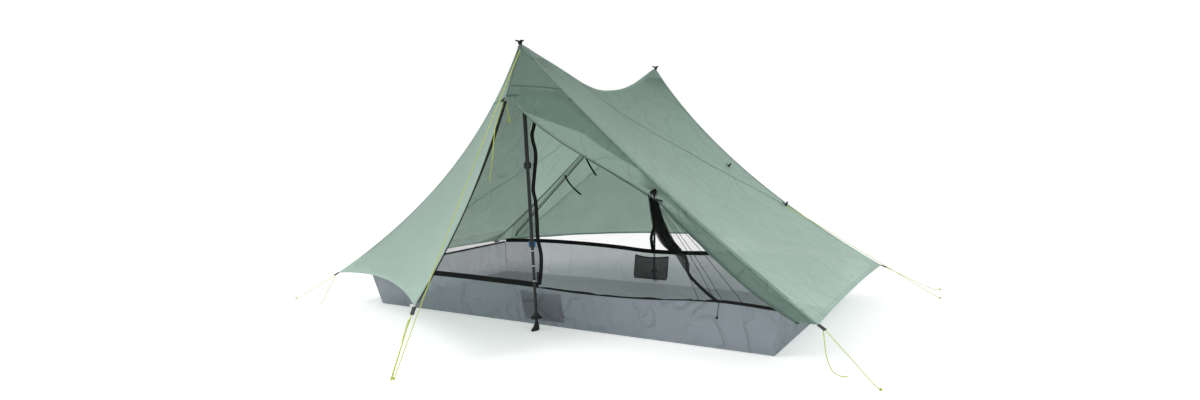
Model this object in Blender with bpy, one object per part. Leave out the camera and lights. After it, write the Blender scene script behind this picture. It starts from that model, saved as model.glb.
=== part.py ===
"""A two-pole ridge tent, pitched, with one near door rolled back.

Metres, +Z up. The origin is on the ground under the middle of the floor. +X runs along the floor
and +Y runs from the near side, where the open door is, to the far side. The two long sides are
alike after half a turn about Z, so the shapes of a side are drawn once, as the near side.
"""

import math

import bmesh
import bpy
from mathutils import Matrix, Vector
from mathutils.bvhtree import BVHTree

# Cloth as it is modelled, and the gap between neighbours
SHEET = 0.0012
GAP = 0.0003

# Floor tub
FLOOR_LENGTH = 2.200
FLOOR_WIDTH = 1.100
WALL_HEIGHT = 0.190
WALL_LEAN = 0.040
WALL_WAVE = 0.012

# Outer tent: peaks, corners and door pegs
PEAK_HEIGHT = 1.300
PEAK_BEYOND_TUB = 0.086
PEAK_REACH = FLOOR_WIDTH / 2 + WALL_LEAN + PEAK_BEYOND_TUB
RIDGE_DIP = 0.168
CORNER_BEYOND_TUB = 0.158
CORNER_BESIDE_TUB = 0.084
CORNER_REACH_X = FLOOR_LENGTH / 2 + WALL_LEAN + CORNER_BEYOND_TUB
CORNER_REACH_Y = FLOOR_WIDTH / 2 + WALL_LEAN + CORNER_BESIDE_TUB
CORNER_HEIGHT = 0.178
END_HEM_RISE = 0.014
PEG_BEYOND_PEAK = 0.636
PEG_REACH = PEAK_REACH + PEG_BEYOND_PEAK
PEG_SIDE = 0.055
NEAR_PEG_HEIGHT = 0.246
FAR_PEG_HEIGHT = 0.205

# How far the cut edges curve in from a straight line
SEAM_BOW_IN = 0.075
SEAM_BOW_ACROSS = 0.108
SEAM_BOW_DOWN = 0.032
HEM_BOW_IN = 0.053
HEM_BOW_ACROSS = 0.039
HEM_BOW_UP = 0.036
DOOR_EDGE_SAG = 0.047
DOOR_EDGE_LEAN = 0.020

# Storm door zips, and the fold of the free far door
STORM_TAPE_WIDTH = 0.012
STORM_TAPE_THICKNESS = 0.0014
FOLD_GAP = 0.004
ROLL_RADIUS = 0.018
ROLL_PITCH = 0.0026

# Mesh walls, their zips and pockets
MESH_PEAK_INSET = 0.004
MESH_PEAK_REACH = FLOOR_WIDTH / 2 + WALL_LEAN - MESH_PEAK_INSET
SILL_TAPE = 0.020
OPEN_SILL_TAPE = 0.008
UPRIGHT_TAPE = 0.022
TAPE_THICKNESS = 0.0016
STRIP_WIDTH = 0.028
PLEAT = 0.010
FOLD_DROP = 0.095
FOLD_ABOVE_TUB = 0.062
FOLD_INSET_IN = 0.002
FOLD_INSET_OUT = 0.024
MESH_DOOR_INSET = 0.110
FOLD_HEIGHT_IN = PEAK_HEIGHT - FOLD_DROP
FOLD_HEIGHT_OUT = WALL_HEIGHT + FOLD_ABOVE_TUB
FOLD_REACH_IN = MESH_PEAK_REACH - FOLD_INSET_IN
FOLD_REACH_OUT = MESH_PEAK_REACH - FOLD_INSET_OUT
MESH_DOOR_LENGTH = FLOOR_LENGTH / 2 + WALL_LEAN - MESH_DOOR_INSET
DOOR_SILL_GAP = 0.003
CLOTH_CLEARANCE = 0.0006
COLUMN_SPACE = 0.003
POCKET_WIDTH = 0.225
POCKET_HEIGHT = 0.140
POCKET_DEPTH = 0.014
POCKET_DROP = 0.012

# Trekking poles
POLE_FOOT_BEYOND_FLOOR = 0.078
POLE_FOOT_REACH = FLOOR_WIDTH / 2 + POLE_FOOT_BEYOND_FLOOR
POLE_FOOT_SIDE = 0.010
POLE_TOP_IN = 0.007
UPPER_TUBE_RADIUS = 0.0090
TUBE_WALL = 0.0008
TUBE_CLEARANCE = 0.0003
UPPER_LOCK_HEIGHT = 0.745
LOWER_LOCK_HEIGHT = 0.385
TUBE_OVERLAP = 0.130
LOCK_HEIGHT = 0.030
LOCK_WALL = 0.0042
LEVER_THICKNESS = 0.0030
LEVER_CLEARANCE = 0.0005
LEVER_TAB = 0.008
LEVER_INSET = 0.003
GRIP_RADIUS = 0.0150
GRIP_LENGTH = 0.240
GRIP_DOME = 0.036
GRIP_DOME_SHARES = ((0.17, 0.13), (0.50, 0.38), (0.85, 0.75))
GRIP_WAIST_SHARES = (0.82, 0.92, 0.80)
FOOT_HEIGHT = 0.036
FOOT_LENGTH = 0.054
FOOT_WIDTH = 0.026
FOOT_SHARES = ((0.0, 1.0, 0.5), (0.17, 1.0, 0.5), (0.40, 0.62, 0.2))
BASKET_HEIGHT = 0.054
BASKET_RADIUS = 0.027
BASKET_THICKNESS = 0.005
BASKET_CONE = 0.020
BASKET_CONE_WALL = 0.0024
BASKET_SHOULDER_SHARES = (0.60, 0.25)

# Small fittings
BUCKLE_WIDTH = 0.017
BUCKLE_THICKNESS = 0.005
BUCKLE_BAR = 0.0045
BUCKLE_WAIST = 0.0015
SLIDER_LENGTH = 0.018
SLIDER_WIDTH = 0.009
SLIDER_THICKNESS = 0.0036
PULL_LENGTH = 0.030
PULL_THICKNESS = 0.0018
TOGGLE_LENGTH = 0.036
TOGGLE_RADIUS = 0.0045
TOGGLE_SIDES = 8
TOGGLE_ROW = 8
STRAP_LENGTH = 0.085
STRAP_WIDTH = 0.012
STRAP_THICKNESS = 0.0020
STRAP_OUT = 0.012
STRAP_DROP = 0.040
STRAP_HANG_SHARES = (0.45, 0.08, -0.9)
STRAP_SEAM_SHARES = (0.42, 0.54)
STRAP_STEPS = 4

# Guy lines
LINE = 0.0024

# Steps and shares
SHARP_ANGLE = math.radians(40)
NORMAL_SHARE = 0.01
SEAM_SHARES = (0.0, 0.015, 0.07, 0.14, 0.214, 0.3, 0.4, 0.5, 0.6, 0.7, 0.8, 0.9, 1.0)
APEX_ROW = 1
STOP_ROW = 4
RIDGE_STEPS = 10
RIDGE_SHARES = (0.0, 0.21, 0.42, 0.65, 0.87, 0.99, 0.965, 0.85, 0.62, 0.30, 0.0)
DOOR_STEPS = 7
TAPE_STEPS = 24
MESH_ROWS = 3
MESH_END_SHARE = 0.87
FOLD_END_SHARE = 0.10
FOLD_TOP_SHARE = 0.03
APEX_MESH_ROW = APEX_ROW + 1
TIP_SHARE = 0.985
MITRE_LIMIT = 0.55
NEAR_WALL_SHARES = (
    (-1.0, 0.0), (-0.6, 0.55), (-0.2, 0.15), (0.0, -0.3), (0.15, -0.9), (0.3, -1.0),
    (0.47, -0.6), (0.7, 0.8), (0.8, 1.0), (1.0, 0.0),
)
FAR_WALL_SHARES = (
    (-1.0, 0.0), (-0.75, 0.9), (-0.43, 0.8), (-0.2, 0.0), (-0.03, -1.0), (0.16, -0.9),
    (0.4, 0.0), (0.7, 0.3), (1.0, 0.0),
)
ROLL_EDGE_SHARES = (0.93, 0.70, 0.46, 0.23, 0.09, 0.075, 0.062, 0.05, 0.035)
ROLL_SIZE_SHARES = (0.35, 0.5, 0.68, 0.85, 1.0, 0.95, 0.85, 0.7, 0.5)
ROLL_FLAT_STEPS = 3
ROLL_TURN_STEPS = 13
ROLL_STEPS_PER_TURN = 12
GATHER_SHARES = (
    (0.07, None), (0.14, None), (0.214, None), (0.3, None), (0.4, None), (0.5, None),
    (0.56, (0.531, 0.930)), (0.60, (0.552, 0.690)), (0.64, (0.589, 0.480)), (0.68, (0.650, 0.400)),
    (0.71, (0.660, 0.260)), (0.74, (0.696, 0.150)), (0.77, (0.770, 0.0)), (0.80, (0.800, 0.0)),
    (0.84, (0.894, 0.0)), (0.87, (0.961, 0.0)),
)
GATHER_TOP = 0.630
GATHER_STEPS = 12
PLEATS = 3
LEVER_START = math.radians(-12)
LEVER_END = math.radians(165)
LEVER_STEPS = 12
NEAR_SLIDER_SHARE = 0.254
FAR_SLIDER_SHARE = 0.95
ROUND = 20
LINE_STEPS = 4


def reset_scene():
    """Empty the scene, whatever it holds."""
    for thing in list(bpy.data.objects):
        bpy.data.objects.remove(thing, do_unlink=True)


def material(name, colour, roughness, metallic=0.0):
    """One plain Principled material."""
    made = bpy.data.materials.new(name)
    made.use_nodes = True
    shader = made.node_tree.nodes["Principled BSDF"]
    shader.inputs["Base Color"].default_value = (*colour, 1.0)
    shader.inputs["Roughness"].default_value = roughness
    shader.inputs["Metallic"].default_value = metallic
    return made


def add_mesh(name, points, faces, finish, smooth=True):
    """A closed mesh object with its faces turned outwards."""
    mesh = bpy.data.meshes.new(name)
    mesh.from_pydata([tuple(point) for point in points], [], faces)
    shape = bmesh.new()
    shape.from_mesh(mesh)
    bmesh.ops.recalc_face_normals(shape, faces=shape.faces)
    if shape.calc_volume(signed=True) < 0:
        bmesh.ops.reverse_faces(shape, faces=shape.faces)
    shape.to_mesh(mesh)
    shape.free()
    if smooth:
        mesh.shade_smooth()
        mesh.set_sharp_from_angle(angle=SHARP_ANGLE)
    mesh.materials.append(finish)
    made = bpy.data.objects.new(name, mesh)
    bpy.context.collection.objects.link(made)
    return made


def arch(share):
    """0 at both ends of an edge and 1 in its middle."""
    return 4 * share * (1 - share)


def turn(point, side):
    """The same place on the near side (1) or, after half a turn about Z, on the far side (-1)."""
    return Vector((side * point.x, side * point.y, point.z))


def piecewise(table, x):
    """Straight-line reading of a table of (place, value) shares."""
    for (x0, v0), (x1, v1) in zip(table, table[1:]):
        if x <= x1:
            return v0 + (v1 - v0) * (x - x0) / (x1 - x0)
    return table[-1][1]


# Curves and surfaces of the outer tent, near side. hand is -1 to the left and 1 to the right.

def peg_height(side):
    """Height of the peg end of the doors on one side."""
    return NEAR_PEG_HEIGHT if side > 0 else FAR_PEG_HEIGHT


def seam(t, hand):
    """The seam between an end slope and a door, from peak to corner."""
    peak = Vector((0, -PEAK_REACH, PEAK_HEIGHT))
    corner = Vector((hand * CORNER_REACH_X, -CORNER_REACH_Y, CORNER_HEIGHT))
    bow = Vector((-hand * SEAM_BOW_IN, SEAM_BOW_ACROSS, -SEAM_BOW_DOWN))
    return peak.lerp(corner, t) + arch(t) * bow


def door_arc(side):
    """Middle and direction of the chord of the doors' round middle line, the way it sags, the way across
    it, its radius and its half angle."""
    peak = Vector((0, -PEAK_REACH, PEAK_HEIGHT))
    peg = Vector((-PEG_SIDE, -PEG_REACH, peg_height(side)))
    chord = peg - peak
    along = chord.normalized()
    inward = Vector((1, 0, 0)).cross(along).normalized()
    sideways = along.cross(inward)
    sideways = sideways if sideways.x > 0 else -sideways
    sag = inward * DOOR_EDGE_SAG + sideways * DOOR_EDGE_LEAN
    across = (sideways - sag * sideways.dot(sag) / sag.length_squared).normalized()
    radius = chord.length_squared / sag.length / 8 + sag.length / 2
    return (peak + peg) / 2, along, sag, across, radius, math.asin(chord.length / radius / 2)


def door_middle(t, side):
    """The line down the middle of the two doors: a round arc from peak to peg."""
    middle, along, sag, _, radius, half_angle = door_arc(side)
    angle = half_angle * (2 * t - 1)
    inward = sag.normalized()
    centre = middle + sag - inward * radius
    return centre + (along * math.sin(angle) + inward * math.cos(angle)) * radius


def door_edge(t, hand, side):
    """The edge of one door beside the zip."""
    return door_middle(t, side) + door_arc(side)[3] * hand * (STORM_TAPE_WIDTH / 2 + GAP)


def door_hem(w, hand, side):
    """The bottom hem of a door, from corner to peg."""
    bow = Vector((-hand * HEM_BOW_IN, HEM_BOW_ACROSS, HEM_BOW_UP))
    return seam(1, hand).lerp(door_edge(1, hand, side), w) + arch(w) * bow


def door_point(t, w, hand, side):
    """A door's surface: t goes down the seam and w goes from the seam to the zip."""
    ruled = seam(t, hand).lerp(door_edge(t, hand, side), w)
    straight = seam(1, hand).lerp(door_edge(1, hand, side), w)
    return ruled + t * (door_hem(w, hand, side) - straight)


def ridge_point(v):
    """The ridge between the two end slopes, from the near peak to the far one."""
    place = min(max(v, 0), 1) * RIDGE_STEPS
    step = min(int(place), RIDGE_STEPS - 1)
    dip = RIDGE_SHARES[step] + (RIDGE_SHARES[step + 1] - RIDGE_SHARES[step]) * (place - step)
    return Vector((0, PEAK_REACH * (2 * v - 1), PEAK_HEIGHT - RIDGE_DIP * dip))


def slope_point(u, v, hand):
    """An end slope's surface: u goes from ridge to hem and v from the near to the far side."""
    near = seam(u, hand)
    far = Vector((near.x, -near.y, near.z))
    reach = CORNER_REACH_Y * (2 * v - 1)
    hem = Vector((hand * CORNER_REACH_X, reach, CORNER_HEIGHT + END_HEM_RISE * arch(v)))
    top = Vector((0, PEAK_REACH * (2 * v - 1), PEAK_HEIGHT))
    bottom = Vector((hand * CORNER_REACH_X, reach, CORNER_HEIGHT))
    return near.lerp(far, v) + ridge_point(v).lerp(hem, u) - top.lerp(bottom, u)


def upward_normal(surface, a, b):
    """Unit normal of a surface of two shares, turned upwards."""
    along = surface(a + NORMAL_SHARE, b) - surface(a - NORMAL_SHARE, b)
    across = surface(a, b + NORMAL_SHARE) - surface(a, b - NORMAL_SHARE)
    normal = along.cross(across).normalized()
    return normal if normal.z > 0 else -normal


def seam_offset(t, hand, side):
    """Half the cloth's thickness at the seam, along the mitre of slope and door."""
    slope = upward_normal(lambda a, b: slope_point(a, b, hand), t, 0)
    door = upward_normal(lambda a, b: door_point(a, b, hand, side), max(t, SEAM_SHARES[APEX_ROW]), 0)
    mitre = (slope + door).normalized()
    return mitre * (SHEET / 2) / max(mitre.dot(slope), MITRE_LIMIT)


def sheet_from(name, points, quads, finish):
    """A closed sheet from (middle point, half-thickness vector) pairs and a quad patch. Both of its
    faces are split along the same diagonals, so that they stay apart where the patch twists."""
    count = len(points)
    solid = [place + half for place, half in points] + [place - half for place, half in points]
    faces = []
    for quad in quads:
        for second, third in zip(quad[1:], quad[2:]):
            faces.append((quad[0], second, third))
            faces.append((quad[0] + count, third + count, second + count))
    uses = {}
    for quad in quads:
        for a, b in zip(quad, quad[1:] + quad[:1]):
            uses.setdefault((min(a, b), max(a, b)), []).append((a, b))
    for edges in uses.values():
        if len(edges) == 1:
            a, b = edges[0]
            faces.append((b, a, a + count, b + count))
    return add_mesh(name, solid, faces, finish)


def grid_quads(rows):
    """Quads between rows of point numbers."""
    quads = []
    for upper, lower in zip(rows, rows[1:]):
        for j in range(len(upper) - 1):
            quads.append([upper[j], upper[j + 1], lower[j + 1], lower[j]])
    return quads


def grid_sheet(name, rows, finish):
    """A closed sheet from rows of (middle point, half-thickness vector) pairs."""
    points = [pair for row in rows for pair in row]
    width = len(rows[0])
    numbers = [[i * width + j for j in range(width)] for i in range(len(rows))]
    return sheet_from(name, points, grid_quads(numbers), finish)


def drawn_in(place, towards, amount):
    """A point moved a little along the cloth, away from its neighbour."""
    return place + (towards - place).normalized() * amount


# Outer tent

def end_slope(name, hand, finish):
    """One end slope: a saddle between the ridge, two seams and the end hem."""
    rows = []
    for t in SEAM_SHARES:
        row = []
        for j in range(RIDGE_STEPS + 1):
            v = j / RIDGE_STEPS
            place = slope_point(t, v, hand)
            half = upward_normal(lambda a, b: slope_point(a, b, hand), t, v) * SHEET / 2
            if t == 0:
                half = Vector((0, 0, SHEET / 2 / max(half.normalized().z, MITRE_LIMIT)))
                place = place + Vector((hand * GAP / 2, 0, 0))
            elif j == 0:
                half = seam_offset(t, hand, 1)
                place = drawn_in(place, slope_point(t, 1 / RIDGE_STEPS, hand), GAP)
            elif j == RIDGE_STEPS:
                half = turn(seam_offset(t, -hand, -1), -1)
                place = drawn_in(place, slope_point(t, 1 - 1 / RIDGE_STEPS, hand), GAP)
            row.append((place, half))
        rows.append(row)
    return grid_sheet(name, rows, finish)


def door_pair(t, w, hand, side):
    """A point of a door with its half thickness, mitred at the seam and square at the zip."""
    place = door_point(t, w, hand, side)
    half = upward_normal(lambda a, b: door_point(a, b, hand, side), t, w) * SHEET / 2
    if w == 0:
        half = seam_offset(t, hand, side)
        place = drawn_in(place, door_point(t, 1 / DOOR_STEPS, hand, side), GAP)
    if w == 1:
        across = door_arc(side)[3]
        half = half - across * half.dot(across)
    return turn(place, side), turn(half, side)


def fold_point(share, side):
    """The straight line that the free door folds about, from the zip's stop to the hem."""
    top = door_edge(SEAM_SHARES[STOP_ROW], 1, side)
    return top.lerp(door_hem(FOLD_END_SHARE, 1, side), share)


def fold_normal(side):
    """Outward normal of the free door along its fold."""
    line = fold_point(1, side) - fold_point(0, side)
    normal = line.cross(door_edge(1, 1, side) - fold_point(0, side)).normalized()
    return normal if normal.z > 0 else -normal


def fold_across(side):
    """Direction in the cloth from the fold towards the zip."""
    line = (fold_point(1, side) - fold_point(0, side)).normalized()
    across = line.cross(fold_normal(side))
    return across if across.dot(door_edge(1, 1, side) - fold_point(1, side)) > 0 else -across


def fixed_door(name, side, whole_fold, finish):
    """The pegged door half, with the hood above the zip and the cloth above the other half's fold."""
    points = []
    last = len(SEAM_SHARES) - 1
    shares = [j / DOOR_STEPS for j in range(DOOR_STEPS + 1)]

    def number(pair):
        points.append(pair)
        return len(points) - 1

    main = [[number(door_pair(t, w, -1, side)) for w in shares] for t in SEAM_SHARES[APEX_ROW:]]
    hood = []
    for i in range(APEX_ROW, STOP_ROW + 1):
        t = SEAM_SHARES[i]
        if i == STOP_ROW:
            t = SEAM_SHARES[i - 1] + (t - SEAM_SHARES[i - 1]) * TIP_SHARE
        hood.append([number(door_pair(t, w, 1, side)) for w in reversed(shares)])
    if whole_fold:
        half = fold_normal(side) * SHEET / 2
        for i in range(STOP_ROW + 1, last + 1):
            share = (SEAM_SHARES[i] - SEAM_SHARES[STOP_ROW]) / (1 - SEAM_SHARES[STOP_ROW])
            edge = fold_point(share, side) - fold_across(side) * FOLD_GAP / 2
            stitch = door_pair(SEAM_SHARES[i], 0, 1, side)
            row = [number((turn(edge, side), turn(half, side)))]
            for w in shares[1:-1]:
                row.append(number((turn(edge, side).lerp(stitch[0], w), turn(half, side))))
            row.append(number(stitch))
            hood.append(row)
    quads = grid_quads(main) + grid_quads(hood)
    for i in range(STOP_ROW - APEX_ROW):
        quads.append([main[i][-1], hood[i][0], hood[i + 1][0], main[i + 1][-1]])
    return sheet_from(name, points, quads, finish)


def free_door(name, side, finish):
    """The door half that opens: it folds about a straight line from the zip's stop to the hem."""
    stop = SEAM_SHARES[STOP_ROW]
    rows = []
    steps = len(SEAM_SHARES) - STOP_ROW
    shift = fold_across(side) * FOLD_GAP / 2
    for i in range(steps):
        a = i / (steps - 1)
        fold = fold_point(FOLD_TOP_SHARE + a * (1 - FOLD_TOP_SHARE), side) + shift
        edge = door_edge(stop + FOLD_TOP_SHARE + a * (1 - stop - FOLD_TOP_SHARE), 1, side)
        row = []
        for j in range(DOOR_STEPS + 1):
            b = j / DOOR_STEPS
            w = FOLD_END_SHARE + b * (1 - FOLD_END_SHARE)
            straight = door_hem(FOLD_END_SHARE, 1, side).lerp(door_edge(1, 1, side), b)
            place = fold.lerp(edge, b) + a * (door_hem(w, 1, side) - straight)
            half = fold_normal(side) * SHEET / 2
            if b == 1:
                across = door_arc(side)[3]
                half = half - across * half.dot(across)
            row.append((turn(place, side), turn(half, side)))
        rows.append(row)
    return grid_sheet(name, rows, finish)


def rolled_door(name, finish):
    """The open near door half: hung from its seam and rolled up from its zip edge."""
    rows = []
    for t, edge, size in zip(SEAM_SHARES[STOP_ROW:], ROLL_EDGE_SHARES, ROLL_SIZE_SHARES):
        stitch, stitch_half = door_pair(t, 0, 1, 1)
        start = door_point(t, edge, 1, 1)
        down = (start - stitch).normalized()
        normal = upward_normal(lambda a, b: door_point(a, b, 1, 1), t, edge)
        normal = (normal - down * normal.dot(down)).normalized()
        row = [(stitch, stitch_half)]
        for k in range(1, ROLL_FLAT_STEPS):
            row.append((stitch.lerp(start, k / ROLL_FLAT_STEPS), normal * SHEET / 2))
        radius = ROLL_RADIUS * size
        middle = start - normal * radius
        pitch = min(ROLL_PITCH, radius / 2)
        for k in range(ROLL_TURN_STEPS + 1):
            angle = math.tau * k / ROLL_STEPS_PER_TURN
            out = normal * math.cos(angle) + down * math.sin(angle)
            reach = radius - pitch * k / ROLL_STEPS_PER_TURN
            row.append((middle + out * reach, out * SHEET / 2))
        rows.append(row)
    return grid_sheet(name, rows, finish)


def storm_zip(name, side, finish):
    """The zip tape down the middle of the doors, from its stop to the peg."""
    rows = []
    start = SEAM_SHARES[STOP_ROW] + (1 - TIP_SHARE)
    for i in range(TAPE_STEPS + 1):
        t = start + (TIP_SHARE - start) * i / TAPE_STEPS
        place = door_middle(t, side)
        along = door_middle(t + 1 - TIP_SHARE, side) - door_middle(t - 1 + TIP_SHARE, side)
        across = door_arc(side)[3]
        half = across.cross(along).normalized() * STORM_TAPE_THICKNESS / 2
        reach = across * STORM_TAPE_WIDTH / 2
        rows.append([(turn(edge, side), turn(half, side)) for edge in (place - reach, place + reach)])
    return grid_sheet(name, rows, finish)


# Floor tub, its wall tops and its pockets

def wall_table(side):
    """Wave of the top of a long wall as (place, height) shares, read in the near frame."""
    if side > 0:
        return NEAR_WALL_SHARES
    return tuple((-x, value) for x, value in reversed(FAR_WALL_SHARES))


def wall_half_length():
    """Half the length of the tub's top."""
    return FLOOR_LENGTH / 2 + WALL_LEAN


def wall_top(x, side):
    """Top of a long wall at x, near frame: its middle thickness."""
    height = WALL_HEIGHT + WALL_WAVE * piecewise(wall_table(side), x / wall_half_length())
    reach = FLOOR_WIDTH / 2 + WALL_LEAN * height / WALL_HEIGHT
    return Vector((x, -reach + SHEET / 2, height))


def floor_tub(finish):
    """The waterproof tub: floor and four leaning walls, one folded sheet."""
    top, foot = [], []
    half = wall_half_length()
    for share, _ in NEAR_WALL_SHARES[:-1]:
        middle = wall_top(share * half, 1)
        top.append(Vector((middle.x, middle.y - SHEET / 2, middle.z)))
        foot.append(Vector((share * FLOOR_LENGTH / 2, -FLOOR_WIDTH / 2, 0)))
    top.append(Vector((half, -FLOOR_WIDTH / 2 - WALL_LEAN, WALL_HEIGHT)))
    foot.append(Vector((FLOOR_LENGTH / 2, -FLOOR_WIDTH / 2, 0)))
    for share, _ in wall_table(-1)[:-1]:
        middle = wall_top(share * half, -1)
        top.append(turn(Vector((middle.x, middle.y - SHEET / 2, middle.z)), -1))
        foot.append(turn(Vector((share * FLOOR_LENGTH / 2, -FLOOR_WIDTH / 2, 0)), -1))
    top.append(Vector((-half, FLOOR_WIDTH / 2 + WALL_LEAN, WALL_HEIGHT)))
    foot.append(Vector((-FLOOR_LENGTH / 2, FLOOR_WIDTH / 2, 0)))

    def inner(point, height):
        x = math.copysign(abs(point.x) - SHEET, point.x) if abs(point.x) > SHEET else point.x
        return Vector((x, math.copysign(abs(point.y) - SHEET, point.y), height))

    count = len(top)
    points = foot + top + [inner(p, p.z) for p in top] + [inner(p, SHEET) for p in foot]
    faces = [tuple(range(count))]
    for ring in range(3):
        for k in range(count):
            n = (k + 1) % count
            faces.append((ring * count + k, ring * count + n, (ring + 1) * count + n, (ring + 1) * count + k))
    faces.append(tuple(3 * count + k for k in range(count)))
    return add_mesh("floor_tub", points, faces, finish, smooth=False)


def pocket(name, side, finish):
    """A mesh pocket on the inside of a long wall, open at its top."""
    lean = Vector((0, -WALL_LEAN, WALL_HEIGHT)).normalized()
    into = Vector((0, WALL_HEIGHT, WALL_LEAN)).normalized()
    foot = Vector((0, -FLOOR_WIDTH / 2, 0)) + into * (SHEET + GAP)
    high = WALL_HEIGHT - WALL_WAVE - POCKET_DROP
    outer, inner = [], []
    for level, near, far, wide in (
        (high - POCKET_HEIGHT, 0, POCKET_DEPTH, POCKET_WIDTH / 2),
        (high, 0, POCKET_DEPTH, POCKET_WIDTH / 2),
    ):
        for x, deep in ((-wide, near), (wide, near), (wide, far), (-wide, far)):
            outer.append(foot + lean * level + into * deep + Vector((x, 0, 0)))
    for level in (high, high - POCKET_HEIGHT + SHEET):
        near, far, wide = SHEET, POCKET_DEPTH - SHEET, POCKET_WIDTH / 2 - SHEET
        for x, deep in ((-wide, near), (wide, near), (wide, far), (-wide, far)):
            inner.append(foot + lean * level + into * deep + Vector((x, 0, 0)))
    points = [turn(point, side) for point in outer + inner]
    faces = [(0, 1, 2, 3), (12, 13, 14, 15)]
    for ring in range(3):
        for k in range(4):
            n = (k + 1) % 4
            faces.append((ring * 4 + k, ring * 4 + n, (ring + 1) * 4 + n, (ring + 1) * 4 + k))
    return add_mesh(name, points, faces, finish, smooth=False)


# Mesh walls

def seam_under(x, hand, side):
    """Just inside the seam where it passes x, straight between the cloth's own corners."""
    for upper, lower in zip(SEAM_SHARES, SEAM_SHARES[1:]):
        a, b = seam(upper, hand), seam(lower, hand)
        if abs(x) <= abs(b.x):
            break
    share = (abs(x) - abs(a.x)) / (abs(b.x) - abs(a.x))
    inset = seam_offset(upper, hand, side).lerp(seam_offset(lower, hand, side), share)
    return a.lerp(b, share) - inset * (SHEET + SHEET + 2 * CLOTH_CLEARANCE) / SHEET


def under_cloth(cloths, place, drop):
    """The point above a place that lies the given drop below the cloths' inner faces."""
    hits = [cloth.ray_cast(place, Vector((0, 0, 1)))[0] for cloth in cloths]
    return min((hit for hit in hits if hit), key=lambda hit: hit.z) - Vector((0, 0, drop))


def cloth_tree(piece):
    """A piece's faces, ready to be met by a ray."""
    points = [vertex.co.copy() for vertex in piece.data.vertices]
    return BVHTree.FromPolygons(points, [tuple(face.vertices) for face in piece.data.polygons])


def mesh_top(x, hand, side, cloths):
    """Top of a mesh wall under the seam, or under the slopes close to the peak."""
    first = abs(seam(SEAM_SHARES[APEX_MESH_ROW], hand).x)
    if abs(x) >= first:
        return seam_under(x, hand, side)
    reach = seam_under(hand * first, hand, side).y
    y = -MESH_PEAK_REACH + (reach + MESH_PEAK_REACH) * abs(x) / first
    below = turn(Vector((x, y, PEAK_HEIGHT / 2)), side)
    return turn(under_cloth(cloths, below, SHEET + CLOTH_CLEARANCE), side)


def sill_rise(width, side, x):
    """Middle of the sill tape's top edge at x, near frame."""
    foot = wall_top(x, side)
    return Vector((x, foot.y - WALL_LEAN / WALL_HEIGHT * (width + GAP), foot.z + GAP + width))


def wall_marks(hand, side, first, last):
    """Distances along a long wall where its top edge bends, between two limits."""
    marks = {first, last}
    for share, _ in wall_table(side):
        x = hand * share * wall_half_length()
        if first < x < last:
            marks.add(x)
    return marks


def mesh_columns(hand, side, last):
    """Places along the sill where a mesh wall has a column, from the zip outwards."""
    first = UPRIGHT_TAPE / 2 + GAP
    marks = wall_marks(hand, side, first, last)
    for t in SEAM_SHARES:
        x = abs(seam(t, hand).x)
        if first < x < last and min(abs(x - mark) for mark in marks) > COLUMN_SPACE:
            marks.add(x)
    return [hand * x for x in sorted(marks)]


def mesh_end(hand):
    """How far out a mesh wall reaches."""
    return abs(seam(MESH_END_SHARE, hand).x)


def fold_line(x, hand):
    """The straight line that the mesh door folds about, at x, near frame."""
    share = (abs(x) - UPRIGHT_TAPE / 2) / (MESH_DOOR_LENGTH - UPRIGHT_TAPE / 2)
    start = Vector((hand * UPRIGHT_TAPE / 2, -FOLD_REACH_IN, FOLD_HEIGHT_IN))
    return start.lerp(Vector((hand * MESH_DOOR_LENGTH, -FOLD_REACH_OUT, FOLD_HEIGHT_OUT)), share)


def mesh_half():
    """Half the thickness of a mesh wall."""
    return Vector((0, -SHEET / 2, 0))


def mesh_wall(name, hand, side, with_fold, cloths, finish):
    """A closed half of a mesh wall, and on request the mesh above the other half's fold line."""
    points = []

    def number(place):
        points.append((turn(place, side), turn(mesh_half(), side)))
        return len(points) - 1

    columns = mesh_columns(hand, side, mesh_end(hand))
    rows = []
    for k in range(MESH_ROWS + 1):
        row = []
        for x in columns:
            low = sill_rise(SILL_TAPE, side, x) + Vector((0, 0, GAP))
            row.append(number(low.lerp(mesh_top(x, hand, side, cloths), k / MESH_ROWS)))
        rows.append(row)
    quads = grid_quads(rows)
    if with_fold:
        lower, upper = [], []
        for x in mesh_columns(-hand, side, mesh_end(hand)):
            sill = sill_rise(SILL_TAPE, side, x) + Vector((0, 0, GAP))
            edge = fold_line(x, -hand) + Vector((0, 0, FOLD_GAP / 2 + GAP))
            lower.append(number(edge if edge.z > sill.z and abs(x) < MESH_DOOR_LENGTH else sill))
            upper.append(number(mesh_top(x, -hand, side, cloths)))
        quads += grid_quads([upper, lower])
        bridge = fold_line(UPRIGHT_TAPE / 2, hand) + Vector((0, 0, FOLD_GAP / 2 + GAP))
        share = (bridge.z - points[rows[-2][0]][0].z) / (points[rows[-1][0]][0].z - points[rows[-2][0]][0].z)
        below, above = rows[-2], rows[-1]
        middle = turn(points[below[0]][0].lerp(points[above[0]][0], share), side)
        corner = number(middle)
        quads.remove([below[0], below[1], above[1], above[0]])
        quads += [[below[0], below[1], above[1], corner], [corner, above[1], above[0]]]
        quads.append([corner, above[0], upper[0], lower[0]])
    return sheet_from(name, points, quads, finish)


def mesh_door(name, hand, side, finish):
    """The mesh door half that opens: it folds about a straight line under the seam."""
    rows = []
    columns = mesh_columns(hand, side, MESH_DOOR_LENGTH)
    for k in range(MESH_ROWS + 1):
        row = []
        for x in columns:
            opening = GAP + DOOR_SILL_GAP * abs(x) / MESH_DOOR_LENGTH
            low = sill_rise(SILL_TAPE, side, x) + Vector((0, 0, opening))
            high = fold_line(x, hand) - Vector((0, 0, FOLD_GAP / 2))
            row.append((turn(low.lerp(high, k / MESH_ROWS), side), turn(mesh_half(), side)))
        rows.append(row)
    return grid_sheet(name, rows, finish)


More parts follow.
